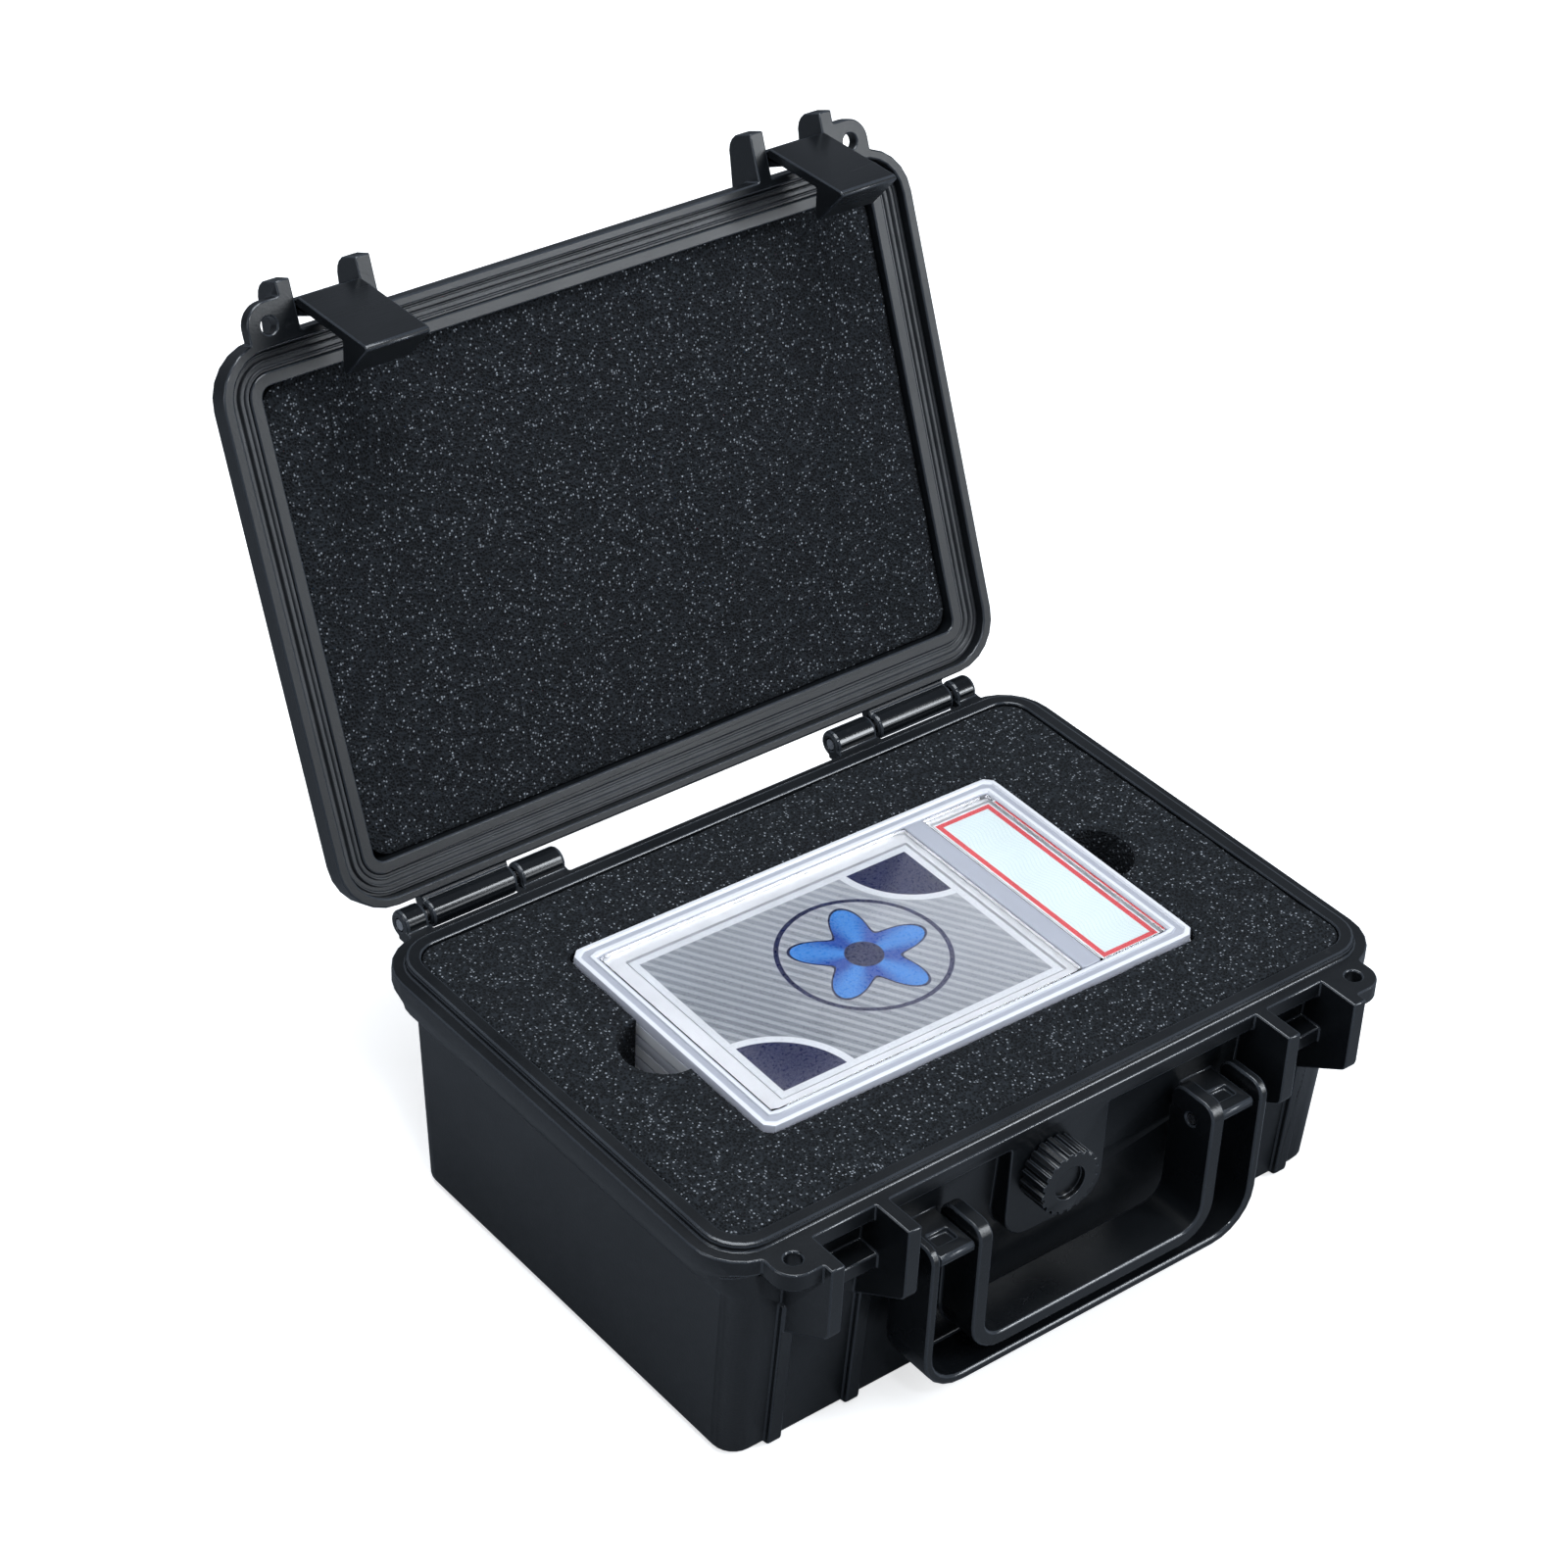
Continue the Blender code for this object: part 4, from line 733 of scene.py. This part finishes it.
# Rings of an outer wall from level to level, without the last one
def wallRows(levels, steps):
    s = foamShape
    rows = []
    for (z0, x0, y0), (z1, x1, y1) in zip(levels, levels[1:]):
        for share in np.linspace(0, 1, steps + 1)[:-1]:
            ring = roundedRing(x0 + (x1 - x0) * share, y0 + (y1 - y0) * share, s["corner"], s["perQuarter"])
            rows.append(atHeight(ring, z0 + (z1 - z0) * share))
    return rows


# A foam block: walls from level to level, then the face on side 1 (up) or -1 (down), in to a middle seam
def foamBlock(levels, side):
    s = foamShape
    order = levels[::side]
    rows = wallRows(order, s["blockSteps"])
    z, halfX, halfY = order[-1]
    outer = roundedRing(halfX, halfY, s["corner"], s["perQuarter"])
    inner = roundedRing(halfX - halfY + s["seam"], s["seam"], s["seamCorner"], s["perQuarter"])
    for share in np.linspace(0, 1, s["faceRings"]) ** s["faceEase"]:
        face = atHeight(outer + (inner - outer) * share, z)
        face[:, 2] += side * (rough(face) - edgeRoll(share * halfY))
        rows.append(face)
    return np.array(rows)


# The pocketed block: its section runs over the top, down the pocket, under and up the outside
def pocketBlock(levels):
    s = foamShape
    bottom, top = levels[0][0], levels[-1][0]
    halfX, halfY = (half + s["pocketGap"] for half in slabHalf)
    corner = s["pocketCorner"]
    quarter = np.concatenate([arcPoints((halfX, 0.0), s["notch"], s["notchPoints"]),
                              arcPoints((halfX - corner, halfY - corner), corner, s["cornerPoints"]),
                              [[0.0, halfY]]])
    pocket = turnRing(mirrorQuarter(quarter, s["perQuarter"]), slabTurn)
    outer = roundedRing(levels[-1][1], levels[-1][2], s["corner"], s["perQuarter"])
    gap = np.linalg.norm(outer - pocket, axis=1)
    lip = s["lipShare"]
    shares = np.concatenate([np.linspace(0, lip, s["lipRings"])[:-1],
                             np.linspace(lip, 1 - lip, s["topRings"]),
                             np.linspace(1 - lip, 1, s["lipRings"])[1:]])
    rows = []
    for share in shares:
        face = atHeight(outer + (pocket - outer) * share, top)
        face[:, 2] += rough(face)
        face[:, 2] -= edgeRoll(share * gap) + edgeRoll((1 - share) * gap)
        rows.append(face)
    low = rows[-1][:, 2]
    outward = atHeight(pocket / np.linalg.norm(pocket, axis=1, keepdims=True), 0.0)
    for share in np.linspace(0, 1, s["wallRings"])[1:]:
        wall = np.column_stack([pocket, low + (bottom - low) * share])
        uneven = 1 + ripple(wall, s["grainLength"], s["wallSeed"])
        rows.append(wall + outward * (s["wallShare"] * s["grainHeight"] * uneven)[:, None])
    return np.array(rows + wallRows(levels, s["pocketSteps"]))


def addFoam(name, node, body, points, joined=False):
    piece = skin(name, points, body, charcoalFoam, joined)
    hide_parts(node)


addFoam("pocketFoam", "base_foam", "base", pocketBlock(heightLevels(nodePoints("base_foam"))), joined=True)
addFoam("padFoam", "base_foam_pad", "base", foamBlock(heightLevels(nodePoints("base_foam_pad")), 1))
shutLevels = heightLevels(swingLid(nodePoints("lid_foam"), 1))
addFoam("lidFoam", "lid_foam", "lid", swingLid(foamBlock(shutLevels, -1), -1))
print("foam made")


# Lid gasket: a ridged profile carried round the groove

gasketShape = {
    "perQuarter": 110, "across": 49, "width": 0.0053, "corner": 0.0118, "bedShare": 0.40,
    "ridges": 3, "crest": 0.7, "sideShare": 0.55,
}


# With the lid shut, each ridge hangs from the bed as half a cosine wave, and the middle one hangs lowest
def gasket():
    s = gasketShape
    width = s["width"]
    shut = swingLid(nodePoints("lid_gasket"), 1)
    low, high = shut[:, 2].min(), shut[:, 2].max()
    halfX, halfY = np.abs(shut[:, 0]).max(), np.abs(shut[:, 1]).max()
    bed = low + (high - low) * s["bedShare"]
    shares = np.linspace(0, 1, s["across"])
    wave = np.maximum(0, -np.cos(2 * math.pi * s["ridges"] * shares)) ** s["crest"]
    tall = np.where(np.abs(shares - 0.5) < 0.5 / s["ridges"], 1.0, s["sideShare"])
    heights = bed - (bed - low) * wave * tall
    rows = []
    for share, z in [*zip(shares, heights), (1.0, high), (0.0, high)]:
        inset = width * share
        ring = roundedRing(halfX - inset, halfY - inset, s["corner"] - inset, s["perQuarter"])
        rows.append(atHeight(ring, z))
    piece = skin("gasketRidges", swingLid(np.array(rows), -1), "lid", gasketRubber, True)
    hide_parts("lid_gasket")


gasket()
print("gasket made")


# Slab covers: a frosted border with stacking ridges, clear panes and a bar between card and label

# The border's section runs up the outside wall, over the outer ridge, the groove and the inner ridge.
# Its points are given by their inset in ridges, inset in borders, and drop from the top in ridges.
coverShape = {
    "corner": 0.0030, "leastCorner": 0.0006, "perQuarter": 36,
    "border": 0.0052, "ridge": 0.0006, "ridgeDrop": 0.5, "gap": 0.00005,
    "section": ((0.0, 0.0, 1.0), (0.3, 0.0, 0.3), (1.0, 0.0, 0.0), (2.2, 0.0, 0.0), (2.8, 0.0, 0.8),
                (0.0, 0.62, 0.8), (0.0, 0.68, 0.2), (0.0, 0.86, 0.2), (0.0, 0.92, 1.0), (0.0, 1.0, 1.2)),
    "paneDrop": 0.0006, "plateCorner": 0.0005, "chamfer": 0.0002,
    "barMiddle": 0.0377, "barHalf": 0.0030, "barRise": 0.0003,
}


def borderSection(bottom, top):
    s = coverShape
    points = [(inRidges * s["ridge"] + inBorders * s["border"], top - drop * s["ridge"])
              for inRidges, inBorders, drop in s["section"]]
    return [(0.0, bottom), *points, (s["border"], bottom)]


def coverBand(section):
    s = coverShape
    rows = []
    for inset, z in section:
        corner = max(s["corner"] - inset, s["leastCorner"])
        ring = roundedRing(slabHalf[0] - inset, slabHalf[1] - inset, corner, s["perQuarter"])
        rows.append(atHeight(turnRing(ring, slabTurn), z))
    return np.array(rows)


# A pane or bar between two places on X: rings rising from the underside to a narrow chamfer
def coverPlate(start, end, bottom, top):
    s = coverShape
    halfX = (end - start) / 2
    halfY = slabHalf[1] - s["border"] - s["gap"]
    rows = []
    for inset, z in ((0.0, bottom), (0.0, top - s["chamfer"]), (s["chamfer"], top)):
        ring = roundedRing(halfX - inset, halfY - inset, s["plateCorner"], s["perQuarter"])
        rows.append(atHeight(turnRing(ring + ((start + end) / 2, 0.0), slabTurn), z))
    return np.array(rows)


# The border is frosted and paler on its ridges, the panes are clear, and the bar is frosted
def slabCover(number, body):
    s = coverShape
    frost, clear, pale = 0, 1, 2
    node = "slab_%d_front" % number
    name = "slabCover%d" % number
    low, high = (corner[2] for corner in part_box(node))
    paneTop = high - s["paneDrop"]
    end = slabHalf[0] - s["border"] - s["gap"]
    barStart, barEnd = s["barMiddle"] - s["barHalf"], s["barMiddle"] + s["barHalf"]
    section = borderSection(low, high)
    ridged = [z >= high - s["ridgeDrop"] * s["ridge"] for inset, z in section]
    band = coverBand(section)
    vertices = band.reshape(-1, 3).tolist()
    faces = gridFaces(band, True)
    kinds = np.repeat(np.where(ridged, pale, frost), band.shape[1]).tolist()
    for points, kind in ((coverPlate(-end, barStart - s["gap"], low, paneTop), clear),
                         (coverPlate(barEnd + s["gap"], end, low, paneTop), clear),
                         (coverPlate(barStart, barEnd, low, paneTop + s["barRise"]), frost)):
        made = gridFaces(points, False, len(vertices))
        vertices += points.reshape(-1, 3).tolist()
        faces += made
        kinds += [kind] * len(made)
    mesh = bpy.data.meshes.new(name)
    mesh.from_pydata(vertices, [], faces)
    mesh.polygons.foreach_set("material_index", kinds)
    materials = [slabFrost, slabClear, slabRidge]
    piece = finishPiece(name, mesh, body, materials, smoothAngles["cover"])
    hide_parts(node)


slabNumbers = sorted({int(name.split("_")[1]) for name in frame["nodes"] if name.startswith("slab_")})
for number in slabNumbers:
    slabCover(number, "top_slab" if number == slabNumbers[-1] else "base")
print("slab covers made:", len(slabNumbers))


# Materials on the CAD nodes that stay

nodeMaterials = {"valve_seal": sealRubber, "valve_bush": bushBrass}
for kind in ("hinge", "latch", "handle"):
    for side in ("left", "right"):
        nodeMaterials["%s_pin_%s" % (kind, side)] = pinSteel
for number in slabNumbers:
    for kind, material in (("back", slabBack), ("card", cardPrint), ("label", labelPrint)):
        nodeMaterials["slab_%d_%s" % (number, kind)] = material
for name, material in nodeMaterials.items():
    for slot in frame["nodes"][name].material_slots:
        slot.material = material
print("node materials set:", len(nodeMaterials))


# Floor, world and lights

# The camera sees white all round, while a darker floor and sky light the case
stageSettings = {
    "floorSize": 12.0, "floorColour": (0.90, 0.90, 0.90), "floorRoughness": 0.9,
    "glowRange": (0.35, 1.0, 0.64, 1.0),  # the floor's own light, by distance from the middle
    "floorBounce": (0.24, 0.26, 0.29), "sky": (0.16, 0.175, 0.20), "white": (1.0, 1.0, 1.0),
}


# 1 for what the camera sees, also through glass, and 0 for light on its way to the case
def seenShare(tree):
    path = tree.nodes.new("ShaderNodeLightPath")
    return calc(tree, "MAXIMUM", path.outputs["Is Camera Ray"], path.outputs["Is Transmission Ray"])


def addFloor():
    s = stageSettings
    half = s["floorSize"] / 2
    mesh = bpy.data.meshes.new("floor")
    corners = [(-half, -half, 0), (half, -half, 0), (half, half, 0), (-half, half, 0)]
    mesh.from_pydata(corners, [], [(0, 1, 2, 3)])
    floor = bpy.data.objects.new("floor", mesh)
    bpy.context.scene.collection.objects.link(floor)
    material, tree, shader = newMaterial("floorWhite", s["floorColour"], s["floorRoughness"])
    shader.inputs["Specular IOR Level"].default_value = 0.0
    seen = seenShare(tree)
    tree.links.new(blendColours(tree, seen, s["floorBounce"], s["floorColour"]), shader.inputs["Base Color"])
    away = tree.nodes.new("ShaderNodeVectorMath")
    away.operation = "LENGTH"
    tree.links.new(objectPlace(tree), away.inputs[0])
    glow = calc(tree, "MULTIPLY", seen, spread(tree, away.outputs["Value"], *s["glowRange"]))
    shader.inputs["Emission Color"].default_value = (*s["white"], 1.0)
    tree.links.new(glow, shader.inputs["Emission Strength"])
    mesh.materials.append(material)


def addWorld():
    world = bpy.data.worlds.new("studio")
    world.use_nodes = True
    tree = world.node_tree
    colour = blendColours(tree, seenShare(tree), stageSettings["sky"], stageSettings["white"])
    tree.links.new(colour, tree.nodes["Background"].inputs["Color"])
    bpy.context.scene.world = world


lampColour = (0.90, 0.95, 1.0)
lampSettings = {
    "topLamp": {"place": (-0.10, 0.05, 1.25), "aim": (0.0, 0.05, 0.08), "size": (0.9, 0.7), "power": 13.5},
    "leftLamp": {"place": (-1.25, 0.10, 0.62), "aim": (0.0, 0.0, 0.08), "size": (0.5, 0.7), "power": 2.2},
    "frontLamp": {"place": (0.82, -1.05, 0.85), "aim": (0.0, 0.0, 0.06), "size": (0.25, 0.95), "power": 12.5},
    "rimLamp": {"place": (0.72, -1.12, 0.26), "aim": (0.0, 0.10, 0.14), "size": (0.45, 0.32), "power": 1.7},
    "sparkleLamp": {"place": (-0.45, -0.95, 1.15), "aim": (0.0, -0.05, 0.05), "size": (0.10, 0.10),
                    "power": 2.4},
}


def addLamp(name, settings):
    data = bpy.data.lights.new(name, "AREA")
    data.shape = "RECTANGLE"
    data.size, data.size_y = settings["size"]
    data.energy = settings["power"]
    data.color = lampColour
    lamp = bpy.data.objects.new(name, data)
    bpy.context.scene.collection.objects.link(lamp)
    lamp.location = settings["place"]
    aim = Vector(settings["aim"]) - Vector(settings["place"])
    lamp.rotation_euler = aim.to_track_quat("-Z", "Y").to_euler()


addFloor()
addWorld()
for name, settings in lampSettings.items():
    addLamp(name, settings)
bpy.context.scene.view_settings.view_transform = "Standard"
print("stage and lamps placed")
